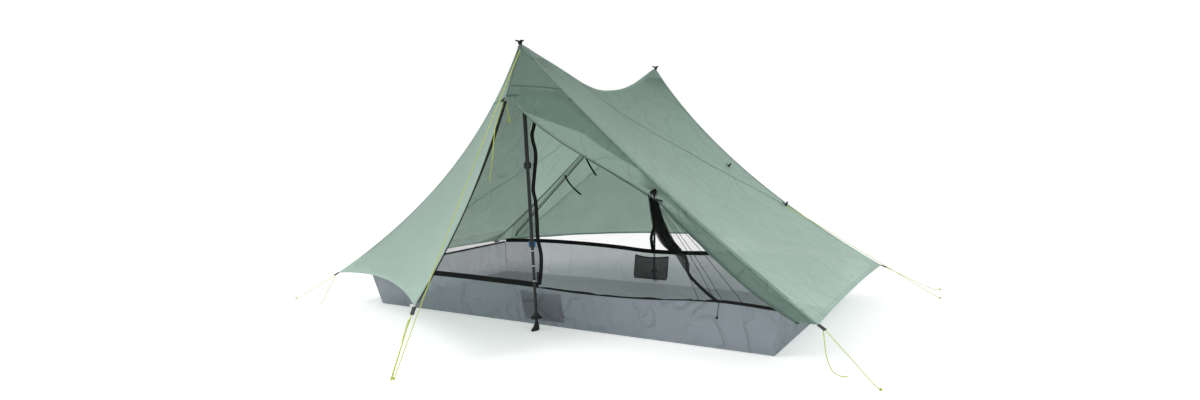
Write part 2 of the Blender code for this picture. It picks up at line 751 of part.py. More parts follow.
def gathered_mesh(name, cloths, finish):
    """The open near mesh half, drawn together at the toggle and hanging in pleats."""
    rows = []
    for t, free in GATHER_SHARES:
        top = mesh_top(seam(t, 1).x, 1, 1, cloths)
        if free is None:
            edge = top + Vector((0, SHEET, -STRIP_WIDTH))
        else:
            x = free[0] * wall_half_length()
            sill = sill_rise(OPEN_SILL_TAPE, 1, x) + Vector((0, 0, GAP))
            edge = sill.lerp(Vector((x, top.y, GATHER_TOP)), free[1])
        row = []
        for k in range(GATHER_STEPS + 1):
            w = k / GATHER_STEPS
            place = top.lerp(edge, w)
            depth = min(PLEAT, (top - edge).length / GATHER_STEPS) * (1 - math.cos(math.tau * PLEATS * w))
            row.append((place + Vector((0, depth, 0)), mesh_half()))
        rows.append(row)
    return grid_sheet(name, rows, finish)


def end_mesh(name, hand, cloths, finish):
    """The low mesh strip between an end wall of the tub and the slope above it."""
    x = wall_half_length() - SHEET / 2
    reach = FLOOR_WIDTH / 2 + WALL_LEAN - SHEET
    low, high = [], []
    for j in range(2 * RIDGE_STEPS + 1):
        foot = Vector((hand * x, reach * (j / RIDGE_STEPS - 1), WALL_HEIGHT + GAP))
        half = Vector((hand * SHEET / 2, 0, 0))
        low.append((foot, half))
        high.append((under_cloth(cloths, foot, SHEET / 2 + CLOTH_CLEARANCE), half))
    return grid_sheet(name, [low, high], finish)


def mesh_zip(name, side, open_right, cloths, finish):
    """Sill tape and upright tape of a mesh wall, one piece in a T."""
    points = []
    half = Vector((0, -TAPE_THICKNESS / 2, 0))

    def number(place):
        points.append((turn(place, side), turn(half, side)))
        return len(points) - 1

    def run(hand, width):
        pairs = []
        for x in sorted(wall_marks(hand, side, UPRIGHT_TAPE / 2, mesh_end(hand))):
            low = wall_top(hand * x, side) + Vector((0, 0, GAP))
            pairs.append((number(low), number(sill_rise(width, side, hand * x))))
        return pairs

    left = run(-1, SILL_TAPE)
    right = run(1, OPEN_SILL_TAPE if open_right else SILL_TAPE)
    quads = [[left[0][0], left[0][1], right[0][1], right[0][0]]]
    for pairs in (left, right):
        for (a, b), (c, d) in zip(pairs, pairs[1:]):
            quads.append([a, b, d, c])
    before = (left[0][1], right[0][1])
    foot, tall = upright_ends(side, cloths)
    reach = Vector((UPRIGHT_TAPE / 2, 0, 0))
    for k in range(1, MESH_ROWS + 1):
        middle = foot.lerp(tall, k / MESH_ROWS)
        row = (number(middle - reach), number(middle + reach))
        quads.append([before[0], row[0], row[1], before[1]])
        before = row
    return sheet_from(name, points, quads, finish)


def upright_ends(side, cloths):
    """Foot and top of the middle of a mesh wall's upright tape, near frame."""
    foot = sill_rise(SILL_TAPE, side, 0)
    first = UPRIGHT_TAPE / 2 + GAP
    tall = mesh_top(first, 1, side, cloths)
    tall.x = 0
    low = sill_rise(SILL_TAPE, side, first) + Vector((0, 0, GAP))
    share = (FOLD_HEIGHT_IN - low.z) / (tall.z - low.z)
    top = Vector((0, low.y, low.z)).lerp(tall, share)
    return foot, top


# Poles, drawn upright about their own axis

def turned(name, profile, finish, closed):
    """A turned piece from (radius, height) points, round about Z."""
    points, rings = [], []
    for radius, height in profile:
        if radius == 0:
            points.append((0, 0, height))
            rings.append([len(points) - 1] * ROUND)
            continue
        ring = []
        for k in range(ROUND):
            angle = math.tau * k / ROUND
            points.append((radius * math.cos(angle), radius * math.sin(angle), height))
            ring.append(len(points) - 1)
        rings.append(ring)
    pairs = list(zip(rings, rings[1:]))
    if closed:
        pairs.append((rings[-1], rings[0]))
    faces = []
    for a, b in pairs:
        for k in range(ROUND):
            n = (k + 1) % ROUND
            corners = []
            for corner in (a[k], a[n], b[n], b[k]):
                if corner not in corners:
                    corners.append(corner)
            faces.append(tuple(corners))
    return add_mesh(name, points, faces, finish)


def tube_profile(radius, bore, low, high, lock):
    """Outline of a tube, with a lock collar round its lower end."""
    collar = radius + LOCK_WALL
    outline = [(radius, high)]
    if lock:
        outline += [(radius, low + LOCK_HEIGHT), (collar, low + LOCK_HEIGHT), (collar, low)]
    else:
        outline += [(radius, low)]
    return outline + [(bore, low), (bore, high)]


def lever(name, collar, height, finish):
    """A lock lever wrapped round its collar, with its pivot at one end."""
    inner = collar + LEVER_CLEARANCE
    outer = inner + LEVER_THICKNESS
    outline = []
    for k in range(LEVER_STEPS + 1):
        angle = LEVER_START + (LEVER_END - LEVER_START) * k / LEVER_STEPS
        outline.append((outer * math.cos(angle), outer * math.sin(angle)))
    tab = outer + LEVER_TAB
    outline.append((tab * math.cos(LEVER_END), tab * math.sin(LEVER_END)))
    span = (LEVER_END - LEVER_START) / LEVER_STEPS / 2
    outline.append((tab * math.cos(LEVER_END + span), tab * math.sin(LEVER_END + span)))
    outline.append((inner * math.cos(LEVER_END + span), inner * math.sin(LEVER_END + span)))
    for k in range(LEVER_STEPS, -1, -1):
        angle = LEVER_START + (LEVER_END - LEVER_START) * k / LEVER_STEPS
        outline.append((inner * math.cos(angle), inner * math.sin(angle)))
    return prism(name, outline, height + LEVER_INSET, height + LOCK_HEIGHT - LEVER_INSET, finish)


def prism(name, outline, low, high, finish):
    """A flat outline drawn up along Z."""
    count = len(outline)
    points = [(x, y, low) for x, y in outline] + [(x, y, high) for x, y in outline]
    faces = [tuple(range(count)), tuple(range(count, 2 * count))]
    for k in range(count):
        n = (k + 1) % count
        faces.append((k, n, n + count, k + count))
    return add_mesh(name, points, faces, finish, smooth=False)


def foot_mesh(name, finish):
    """The rubber walking foot, a small boot with a flat sole."""
    length, width = FOOT_LENGTH / 2, FOOT_WIDTH / 2
    collar = lower_tube_radius() + TUBE_WALL
    levels = [(FOOT_HEIGHT * rise, length * long, width, -length * back) for rise, long, back in FOOT_SHARES]
    levels.append((FOOT_HEIGHT, collar, collar, 0.0))
    points, faces = [], []
    for height, long, wide, back in levels:
        for k in range(ROUND):
            angle = math.tau * k / ROUND
            points.append((back + long * math.cos(angle), wide * math.sin(angle), height))
    for ring in range(len(levels) - 1):
        for k in range(ROUND):
            n = (k + 1) % ROUND
            faces.append((ring * ROUND + k, ring * ROUND + n, (ring + 1) * ROUND + n, (ring + 1) * ROUND + k))
    faces.append(tuple(range(ROUND)))
    faces.append(tuple((len(levels) - 1) * ROUND + k for k in range(ROUND)))
    return add_mesh(name, points, faces, finish)


def middle_tube_radius():
    """The middle tube runs inside the upper one."""
    return UPPER_TUBE_RADIUS - TUBE_WALL - TUBE_CLEARANCE


def lower_tube_radius():
    """The lower tube runs inside the middle one."""
    return middle_tube_radius() - TUBE_WALL - TUBE_CLEARANCE


def pole_line(side):
    """Foot and top of a pole's axis."""
    foot = Vector((POLE_FOOT_SIDE, -POLE_FOOT_REACH, 0))
    top = ridge_point(POLE_TOP_IN / 2 / PEAK_REACH) - Vector((0, 0, SHEET / 2 / MITRE_LIMIT + GAP))
    return turn(foot, side), turn(top, side)


def pole(prefix, side, finishes):
    """One telescopic pole, foot on the ground and grip under the peak."""
    foot, top = pole_line(side)
    length = (top - foot).length
    axis = (top - foot).normalized()
    across = Vector((side, 0, 0))
    across = (across - axis * across.dot(axis)).normalized()
    frame = Matrix.Translation(foot) @ Matrix((across, axis.cross(across), axis)).transposed().to_4x4()
    middle, lower = middle_tube_radius(), lower_tube_radius()
    grip_low = length - GRIP_LENGTH
    bore = UPPER_TUBE_RADIUS + TUBE_CLEARANCE
    roof = length - GRIP_DOME
    made = []
    grip = [(0, length)]
    grip += [(GRIP_RADIUS * wide, length - GRIP_DOME * drop) for wide, drop in GRIP_DOME_SHARES]
    grip.append((GRIP_RADIUS, roof))
    grip += [(GRIP_RADIUS * wide, height) for wide, height in
             zip(GRIP_WAIST_SHARES, (roof - GRIP_DOME, length - GRIP_LENGTH / 2, grip_low))]
    grip += [(bore, grip_low), (bore, roof), (0, roof)]
    made.append(turned(prefix + "_pole_grip", grip, finishes["foam"], False))
    tube = tube_profile(UPPER_TUBE_RADIUS, UPPER_TUBE_RADIUS - TUBE_WALL, UPPER_LOCK_HEIGHT, roof - GAP, True)
    made.append(turned(prefix + "_pole_upper_tube", tube, finishes["shaft"], True))
    high = UPPER_LOCK_HEIGHT + TUBE_OVERLAP
    tube = tube_profile(middle, middle - TUBE_WALL, LOWER_LOCK_HEIGHT, high, True)
    made.append(turned(prefix + "_pole_middle_tube", tube, finishes["shaft"], True))
    high = LOWER_LOCK_HEIGHT + TUBE_OVERLAP
    tube = tube_profile(lower, lower - TUBE_WALL, FOOT_HEIGHT + 2 * GAP, high, False)
    made.append(turned(prefix + "_pole_lower_tube", tube, finishes["shaft"], True))
    made.append(lever(prefix + "_pole_upper_lever", UPPER_TUBE_RADIUS + LOCK_WALL, UPPER_LOCK_HEIGHT,
                      finishes["hard"]))
    made.append(lever(prefix + "_pole_lower_lever", middle + LOCK_WALL, LOWER_LOCK_HEIGHT, finishes["blue"]))
    bore = lower + TUBE_CLEARANCE
    rim = BASKET_HEIGHT + BASKET_THICKNESS
    basket = [
        (BASKET_RADIUS, rim), (BASKET_RADIUS, BASKET_HEIGHT), (bore, BASKET_HEIGHT),
        (bore, rim + BASKET_CONE), (bore + BASKET_CONE_WALL, rim + BASKET_CONE),
        (BASKET_RADIUS * BASKET_SHOULDER_SHARES[0], rim + BASKET_CONE * BASKET_SHOULDER_SHARES[1]),
    ]
    made.append(turned(prefix + "_pole_basket", basket, finishes["hard"], True))
    for piece in made:
        piece.matrix_world = frame
    boot = foot_mesh(prefix + "_pole_foot", finishes["rubber"])
    boot.matrix_world = Matrix.Translation(foot) @ Matrix.Rotation(side * math.pi / 2, 4, "Z")


# Small fittings

def frame_from(start, direction, flat):
    """A placing frame: local X along the direction, local Z close to flat."""
    along = direction.normalized()
    up = (flat - along * flat.dot(along)).normalized()
    return Matrix.Translation(start) @ Matrix((along, up.cross(along), up)).transposed().to_4x4()


def buckle(name, tip, end, finish):
    """A line-lock buckle between a cloth corner and the end of its line, with a raised bar at each end."""
    length = (end - tip).length - 2 * GAP
    reach, bar = length / 2, BUCKLE_THICKNESS / 2
    thin = bar - BUCKLE_WAIST / 2
    profile = [
        (-reach, -bar), (-reach + BUCKLE_BAR, -bar), (-reach + BUCKLE_BAR, -thin),
        (reach - BUCKLE_BAR, -thin), (reach - BUCKLE_BAR, -bar), (reach, -bar),
        (reach, bar), (reach - BUCKLE_BAR, bar), (reach - BUCKLE_BAR, thin),
        (-reach + BUCKLE_BAR, thin), (-reach + BUCKLE_BAR, bar), (-reach, bar),
    ]
    made = crosswise(name, profile, BUCKLE_WIDTH, finish)
    made.matrix_world = frame_from((tip + end) / 2, end - tip, Vector((0, 0, 1)))
    return made


def crosswise(name, profile, width, finish):
    """A profile in X and Z, drawn across Y."""
    count = len(profile)
    points = [(x, -width / 2, z) for x, z in profile] + [(x, width / 2, z) for x, z in profile]
    faces = [tuple(range(count)), tuple(range(count, 2 * count))]
    for k in range(count):
        n = (k + 1) % count
        faces.append((k, n, n + count, k + count))
    return add_mesh(name, points, faces, finish, smooth=False)


def slider(name, place, along, out, finish):
    """A zip slider with its pull, lying on the outer face of its tape."""
    length, thick = SLIDER_LENGTH / 2, SLIDER_THICKNESS
    profile = [
        (-length, 0), (length, 0), (length, thick / 2), (length / 2, thick),
        (-length + PULL_THICKNESS, thick), (-length + PULL_THICKNESS - PULL_LENGTH, thick),
        (-length + PULL_THICKNESS - PULL_LENGTH, thick - PULL_THICKNESS), (-length, thick - PULL_THICKNESS),
    ]
    made = crosswise(name, profile, SLIDER_WIDTH, finish)
    made.matrix_world = frame_from(place, along, out)
    return made


def storm_slider_place(side, t):
    """Place, direction and outward side of a slider on a storm door zip."""
    _, _, sag, across, _, _ = door_arc(side)
    along = (door_middle(t - 1 + TIP_SHARE, side) - door_middle(t + 1 - TIP_SHARE, side)).normalized()
    out = across.cross(along).normalized()
    out = out if out.dot(sag) < 0 else -out
    place = door_middle(t, side) + out * (STORM_TAPE_THICKNESS / 2 + GAP)
    return turn(place, side), turn(along, side), turn(out, side)


def mesh_slider_place(side, cloths):
    """Place, direction and outward side of a slider at the foot of a mesh wall's upright zip."""
    foot, tall = upright_ends(side, cloths)
    along = (tall - foot).normalized()
    out = along.cross(Vector((1, 0, 0))).normalized()
    out = out if out.y < 0 else -out
    place = foot + along * (PULL_LENGTH + SLIDER_LENGTH) + out * (TAPE_THICKNESS / 2 + GAP)
    return turn(place, side), turn(along, side), turn(out, side)


def toggle(name, finish):
    """The bar toggle that holds the rolled door and the gathered mesh to the seam."""
    t, edge = SEAM_SHARES[TOGGLE_ROW], ROLL_EDGE_SHARES[TOGGLE_ROW - STOP_ROW]
    start = door_point(t, edge, 1, 1)
    down = (start - seam(t, 1)).normalized()
    normal = upward_normal(lambda a, b: door_point(a, b, 1, 1), t, edge)
    normal = (normal - down * normal.dot(down)).normalized()
    place = start + normal * (SHEET / 2 + TOGGLE_RADIUS + 2 * GAP)
    outline = []
    for k in range(TOGGLE_SIDES):
        angle = math.tau * (k + 0.5) / TOGGLE_SIDES
        outline.append((TOGGLE_RADIUS * math.cos(angle), TOGGLE_RADIUS * math.sin(angle)))
    made = prism(name, outline, -TOGGLE_LENGTH / 2, TOGGLE_LENGTH / 2, finish)
    bar = Vector((1, 0, 0))
    bar = (bar - normal * bar.dot(normal)).normalized()
    turned_to = Matrix((normal, bar.cross(normal), bar)).transposed().to_4x4()
    made.matrix_world = Matrix.Translation(place) @ turned_to
    return made


def tie_strap(name, t, cloths, finish):
    """A tie strap hanging from the seam over the far free door, outside its mesh."""
    corner = turn(seam(t, 1), -1)
    down = Vector(STRAP_HANG_SHARES).normalized()
    flat = Vector((-down.z, 0, down.x)).cross(down).normalized()
    side = down.cross(flat).normalized() * STRAP_WIDTH / 2
    half = flat * STRAP_THICKNESS / 2
    start = Vector((corner.x, corner.y + STRAP_OUT, corner.z - STRAP_DROP))
    corners = [start + side + half, start - side + half, start + side - half, start - side - half]
    rise = min(under_cloth(cloths, place, CLOTH_CLEARANCE).z - place.z for place in corners)
    root = start + Vector((0, 0, rise))
    rows = []
    for k in range(STRAP_STEPS + 1):
        place = root + down * STRAP_LENGTH * k / STRAP_STEPS
        rows.append([(place - side, half), (place + side, half)])
    return grid_sheet(name, rows, finish)


# Guy lines

def smooth_route(route):
    """Points on one smooth curve through a route's own points."""
    ends = [2 * route[0] - route[1]] + route + [2 * route[-1] - route[-2]]
    points = []
    for p0, p1, p2, p3 in zip(ends, ends[1:], ends[2:], ends[3:]):
        for k in range(LINE_STEPS):
            s = k / LINE_STEPS
            points.append(0.5 * (2 * p1 + (p2 - p0) * s + (2 * p0 - 5 * p1 + 4 * p2 - p3) * s * s
                                 + (3 * p1 - p0 - 3 * p2 + p3) * s ** 3))
    return points + [route[-1]]


def line(name, route, finish):
    """A thin cord along a route."""
    points = smooth_route([Vector(place) for place in route])
    curve = bpy.data.curves.new(name, "CURVE")
    curve.dimensions = "3D"
    curve.bevel_depth = LINE / 2
    curve.bevel_resolution = 2
    curve.use_fill_caps = True
    spline = curve.splines.new("POLY")
    spline.points.add(len(points) - 1)
    for slot, place in zip(spline.points, points):
        slot.co = (*place, 1)
    curve.materials.append(finish)
    made = bpy.data.objects.new(name, curve)
    bpy.context.collection.objects.link(made)
    return made


ROUTES = {
    "near_peak_line": [
        (0.0108, -0.6891, 1.2676), (-0.0020, -0.8600, 0.9950), (-0.0180, -1.0600, 0.6650),
        (-0.0330, -1.2700, 0.3070), (-0.0390, -1.3900, 0.1010), (-0.0410, -1.4460, 0.0060),
    ],
    "far_peak_line": [
        (0.0061, 0.6882, 1.2684), (0.0280, 0.8750, 0.9770), (0.0500, 1.0750, 0.6520),
        (0.0700, 1.2850, 0.2980), (0.0800, 1.4050, 0.0980), (0.0850, 1.4620, 0.0040),
    ],
    "near_door_line": [
        (-0.0597, -1.3262, 0.2175), (-0.0590, -1.3680, 0.1460), (-0.0570, -1.4230, 0.0460),
        (-0.0550, -1.4460, 0.0075), (-0.0520, -1.4530, 0.0040), (-0.0490, -1.4470, 0.0090),
        (-0.0500, -1.4290, 0.0420), (-0.0530, -1.3760, 0.1420), (-0.0560, -1.3440, 0.2000),
        (-0.0620, -1.3400, 0.2000), (-0.0690, -1.3460, 0.1800), (-0.0760, -1.3570, 0.1400),
        (-0.0800, -1.3630, 0.1130),
    ],
    "far_door_line": [
        (0.0635, 1.3281, 0.1778), (0.0680, 1.3750, 0.1080), (0.0760, 1.4340, 0.0190),
        (0.0790, 1.4480, 0.0040),
    ],
    "near_left_corner_line": [
        (-1.3265, -0.6750, 0.1640), (-1.4100, -0.6780, 0.1220), (-1.5300, -0.6830, 0.0610),
        (-1.6250, -0.6870, 0.0140), (-1.6620, -0.6880, 0.0030),
    ],
    "near_left_tail": [
        (-1.3191, -0.6748, 0.1643), (-1.3240, -0.6800, 0.1500), (-1.3480, -0.6900, 0.1100),
        (-1.3760, -0.7000, 0.0600), (-1.4020, -0.7090, 0.0120), (-1.4410, -0.7150, 0.0020),
    ],
    "near_right_corner_line": [
        (1.3245, -0.6840, 0.1640), (1.3720, -0.7040, 0.1250), (1.4400, -0.7330, 0.0690),
        (1.4920, -0.7550, 0.0240), (1.5240, -0.7680, 0.0030),
    ],
    "near_right_tail": [
        (1.3170, -0.6812, 0.1649), (1.3190, -0.6840, 0.1450), (1.3290, -0.6870, 0.0700),
        (1.3480, -0.6830, 0.0200), (1.3730, -0.6780, 0.0030), (1.4030, -0.6740, 0.0020),
    ],
    "far_right_corner_line": [
        (1.3150, 0.6975, 0.1660), (1.3730, 0.7780, 0.1210), (1.4560, 0.8950, 0.0560),
        (1.5180, 0.9820, 0.0110), (1.5490, 1.0260, 0.0020),
    ],
    "far_left_corner_line": [
        (-1.3150, 0.6975, 0.1660), (-1.3730, 0.7780, 0.1210), (-1.4560, 0.8950, 0.0560),
        (-1.5180, 0.9820, 0.0110), (-1.5490, 1.0260, 0.0020),
    ],
    "right_slope_line": [
        (0.8359, 0.5374, 0.4930), (1.0200, 0.6002, 0.3710), (1.2030, 0.6630, 0.2460),
        (1.3870, 0.7260, 0.1230), (1.5250, 0.7730, 0.0310), (1.5690, 0.7880, 0.0030),
    ],
    "door_loose_line": [
        (-0.0412, -0.7514, 1.0475), (-0.0397, -0.7922, 0.9760), (-0.0150, -0.8414, 0.9398),
        (0.0000, -0.8680, 0.9200), (0.0100, -0.8920, 0.8650), (0.0120, -0.9060, 0.8000),
        (0.0120, -0.9300, 0.7000),
    ],
}


def build():
    """Every piece of the tent, each its own object."""
    reset_scene()
    fly = material("sage film", (0.34, 0.46, 0.40), 0.45)
    grey = material("grey film", (0.30, 0.32, 0.34), 0.5)
    net = material("black mesh", (0.03, 0.03, 0.03), 0.7)
    tape = material("black tape", (0.015, 0.015, 0.015), 0.55)
    lime = material("lime cord", (0.62, 0.74, 0.15), 0.6)
    finishes = {
        "foam": material("black foam", (0.02, 0.02, 0.02), 0.8),
        "shaft": material("black shaft", (0.03, 0.035, 0.035), 0.35, 0.6),
        "hard": material("black plastic", (0.015, 0.015, 0.015), 0.4),
        "blue": material("blue plastic", (0.02, 0.22, 0.55), 0.4),
        "rubber": material("black rubber", (0.02, 0.02, 0.02), 0.75),
    }
    slopes = [end_slope("slope_left", -1, fly), end_slope("slope_right", 1, fly)]
    near_fixed = fixed_door("storm_door_near_left", 1, False, fly)
    far_fixed = fixed_door("storm_door_far_right", -1, True, fly)
    free_door("storm_door_far_left", -1, fly)
    rolled_door("storm_door_near_right", fly)
    storm_zip("storm_zip_near", 1, tape)
    storm_zip("storm_zip_far", -1, tape)
    near_cloths = [cloth_tree(piece) for piece in slopes + [near_fixed]]
    far_cloths = [cloth_tree(piece) for piece in slopes + [far_fixed]]
    floor_tub(grey)
    pocket("pocket_near", 1, net)
    pocket("pocket_far", -1, net)
    mesh_wall("mesh_near_left", -1, 1, False, near_cloths, net)
    gathered_mesh("mesh_near_right", near_cloths, net)
    mesh_wall("mesh_far_right", -1, -1, True, far_cloths, net)
    mesh_door("mesh_far_left", 1, -1, net)
    end_mesh("mesh_end_left", -1, near_cloths, net)
    end_mesh("mesh_end_right", 1, near_cloths, net)
    mesh_zip("mesh_zip_near", 1, True, near_cloths, tape)
    mesh_zip("mesh_zip_far", -1, False, far_cloths, tape)
    pole("near", 1, finishes)
    pole("far", -1, finishes)
    starts = {name: Vector(route[0]) for name, route in ROUTES.items()}
    for name, side, hand, key in (
        ("buckle_near_left", 1, -1, "near_left_corner_line"),
        ("buckle_near_right", 1, 1, "near_right_corner_line"),
        ("buckle_far_right", -1, -1, "far_right_corner_line"),
        ("buckle_far_left", -1, 1, "far_left_corner_line"),
    ):
        buckle(name, turn(seam(1, hand), side), starts[key], finishes["hard"])
    for name, side, key in (
        ("buckle_near_door", 1, "near_door_line"),
        ("buckle_far_door", -1, "far_door_line"),
    ):
        buckle(name, turn(door_edge(1, -1, side), side), starts[key], finishes["hard"])
    slider("slider_storm_near", *storm_slider_place(1, NEAR_SLIDER_SHARE), finishes["hard"])
    slider("slider_storm_far", *storm_slider_place(-1, FAR_SLIDER_SHARE), finishes["hard"])
    slider("slider_mesh_near", *mesh_slider_place(1, near_cloths), finishes["hard"])
    slider("slider_mesh_far", *mesh_slider_place(-1, far_cloths), finishes["hard"])
    toggle("door_toggle", finishes["hard"])
    for name, share in zip(("tie_strap_upper", "tie_strap_lower"), STRAP_SEAM_SHARES):
        tie_strap(name, share, far_cloths, tape)
    for name, route in ROUTES.items():
        line(name, route, lime)


build()
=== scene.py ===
"""A two-pole ridge tent of thin sage film on two trekking poles, with one near door rolled back.

Metres, +Z up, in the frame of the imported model: the origin is on the ground under the middle of the
floor, +X runs along the floor and -Y is the near side, where the open door is. The two long sides are
alike after half a turn about Z, so the shapes of a side are drawn once, as the near side.
"""

import math

import bmesh
import bpy
from mathutils import Matrix, Vector, noise
from mathutils.bvhtree import BVHTree


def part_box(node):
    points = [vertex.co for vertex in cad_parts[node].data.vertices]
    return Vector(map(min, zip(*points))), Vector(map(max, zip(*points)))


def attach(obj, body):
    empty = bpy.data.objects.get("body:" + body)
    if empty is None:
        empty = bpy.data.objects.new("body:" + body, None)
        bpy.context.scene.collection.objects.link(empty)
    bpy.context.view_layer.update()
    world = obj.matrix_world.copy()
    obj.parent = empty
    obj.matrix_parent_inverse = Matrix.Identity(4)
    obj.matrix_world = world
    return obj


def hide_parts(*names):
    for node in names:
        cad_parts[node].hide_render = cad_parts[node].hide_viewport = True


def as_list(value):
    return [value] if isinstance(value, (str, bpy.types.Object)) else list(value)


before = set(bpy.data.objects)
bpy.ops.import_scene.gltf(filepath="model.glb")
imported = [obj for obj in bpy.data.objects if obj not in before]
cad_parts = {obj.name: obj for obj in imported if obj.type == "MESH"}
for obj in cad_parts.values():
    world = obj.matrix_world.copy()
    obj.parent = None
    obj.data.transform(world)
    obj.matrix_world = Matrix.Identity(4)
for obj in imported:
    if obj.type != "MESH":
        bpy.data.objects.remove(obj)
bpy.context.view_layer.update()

# Sizes of the model that the cloth is hung from
SHEET = 0.0012
GAP = 0.0003
FLOOR_LENGTH = 2.200
FLOOR_WIDTH = 1.100
WALL_HEIGHT = 0.190
WALL_LEAN = 0.040
WALL_WAVE = 0.012
PEAK_HEIGHT = 1.300
PEAK_REACH = 0.676
RIDGE_DIP = 0.168
CORNER_REACH_X = 1.298
CORNER_REACH_Y = 0.674
CORNER_HEIGHT = 0.178
END_HEM_RISE = 0.014
PEG_REACH = 1.312
PEG_SIDE = 0.055
NEAR_PEG_HEIGHT = 0.246
FAR_PEG_HEIGHT = 0.205
SEAM_BOW_IN = 0.075
SEAM_BOW_ACROSS = 0.108
SEAM_BOW_DOWN = 0.032
HEM_BOW_IN = 0.053
HEM_BOW_ACROSS = 0.039
HEM_BOW_UP = 0.036
DOOR_EDGE_SAG = 0.047
DOOR_EDGE_LEAN = 0.020
STORM_TAPE_WIDTH = 0.012
FOLD_GAP = 0.004
ROLL_RADIUS = 0.018
MESH_PEAK_REACH = 0.586
SILL_TAPE = 0.020
OPEN_SILL_TAPE = 0.008
UPRIGHT_TAPE = 0.022
STRIP_WIDTH = 0.028
FOLD_HEIGHT_IN = 1.205
FOLD_HEIGHT_OUT = 0.252
FOLD_REACH_IN = 0.584
FOLD_REACH_OUT = 0.562
MESH_DOOR_LENGTH = 1.030
CLOTH_CLEARANCE = 0.0006
POCKET_WIDTH = 0.225
POCKET_HEIGHT = 0.140
POCKET_DEPTH = 0.014
POCKET_DROP = 0.012
CORD = 0.0032
SEAM_SHARES = (0.0, 0.015, 0.07, 0.14, 0.214, 0.3, 0.4, 0.5, 0.6, 0.7, 0.8, 0.9, 1.0)
STOP = 0.214
APEX_MESH = 0.07
TIP_SHARE = 0.985
MITRE_LIMIT = 0.55
FOLD_END_SHARE = 0.10
MESH_END_SHARE = 0.87
RIDGE_SHARES = (0.0, 0.21, 0.42, 0.65, 0.87, 0.99, 0.965, 0.85, 0.62, 0.30, 0.0)
NEAR_WALL_SHARES = (
    (-1.0, 0.0), (-0.6, 0.55), (-0.2, 0.15), (0.0, -0.3), (0.15, -0.9), (0.3, -1.0),
    (0.47, -0.6), (0.7, 0.8), (0.8, 1.0), (1.0, 0.0),
)
FAR_WALL_SHARES = (
    (-1.0, 0.0), (-0.75, 0.9), (-0.43, 0.8), (-0.2, 0.0), (-0.03, -1.0), (0.16, -0.9),
    (0.4, 0.0), (0.7, 0.3), (1.0, 0.0),
)
ROLL_SHARES = (0.214, 0.3, 0.4, 0.5, 0.6, 0.7, 0.8, 0.9, 1.0)
ROLL_EDGE_SHARES = (0.93, 0.655, 0.405, 0.195, 0.080, 0.074, 0.072, 0.070, 0.044)
ROLL_SIZE_SHARES = (0.35, 0.5, 0.64, 0.78, 0.92, 0.92, 0.85, 0.7, 0.5)
FLAT_COLUMNS = 9
ROLL_COLUMNS = 22
OPEN_TAPE_TURN = math.radians(28)
GATHER_SHARES = (
    (0.07, None), (0.14, None), (0.214, None), (0.3, None), (0.4, None), (0.5, None),
    (0.56, (0.531, 0.930)), (0.60, (0.552, 0.690)), (0.64, (0.589, 0.480)), (0.68, (0.650, 0.400)),
    (0.71, (0.660, 0.260)), (0.74, (0.696, 0.150)), (0.77, (0.770, 0.0)), (0.80, (0.800, 0.0)),
    (0.84, (0.894, 0.0)), (0.87, (0.961, 0.0)),
)
GATHER_TOP = 0.630

# What follows from them, and sizes of the visible pieces
HALF_LENGTH = FLOOR_LENGTH / 2 + WALL_LEAN
MESH_START = UPRIGHT_TAPE / 2 - 0.001
FLOOR_RIM = 0.50
SIDES = ((1, "near"), (-1, "far"))
PEAK = Vector((0, -PEAK_REACH, PEAK_HEIGHT))
X, Y, Z = Vector((1, 0, 0)), Vector((0, 1, 0)), Vector((0, 0, 1))
SLOPES = ["slope_left_cloth", "slope_right_cloth"]
POLE_FOOT = (0.010, -0.628, 0)
POLE_TIP_RADIUS = 0.0035
TUBE_BORE = 0.0093
GRIP_LOW, GRIP_HIGH = 0.240, 0.036
TOGGLE_Y = -0.600
LOOSE_SILL_END = 0.86

# Columns and rows of the large cloths
SLOPE_COLUMNS, SLOPE_ROWS = 44, 56
DOOR_COLUMNS, DOOR_ROWS = 36, 60
HOOD_COLUMNS, HOOD_ROWS = 26, 18
MESH_COLUMNS, MESH_ROWS = 56, 28
TUB_COLUMNS, TUB_ROWS = (150, 75), 16
PATCH_STEPS = 6
ZIP_STEPS = {"storm": 300, "mesh": 330}

# How far sewn-on pieces stand off the cloth that they lie on, and how thick a binding is
HEM_LIFT = 0.0009
PATCH_LIFT = 0.0012
COVER_LIFT = 0.0010
BINDING = 0.0008
FLOOR_LIFT = 0.0008

# Sideways waves of the upright zips, as (height, offset)
NEAR_ZIP_WAVE = (
    (0.195, 0.004), (0.257, 0.015), (0.347, 0.019), (0.418, 0.004), (0.506, 0.001), (0.598, -0.005),
    (0.640, -0.015), (0.704, -0.008), (0.812, 0.004), (0.897, -0.013), (0.946, 0.001), (1.205, 0.0),
)
FAR_ZIP_WAVE = ((0.195, 0.002), (0.277, -0.005), (0.347, 0.016), (0.449, 0.011), (0.7, 0.0), (1.205, 0.0))

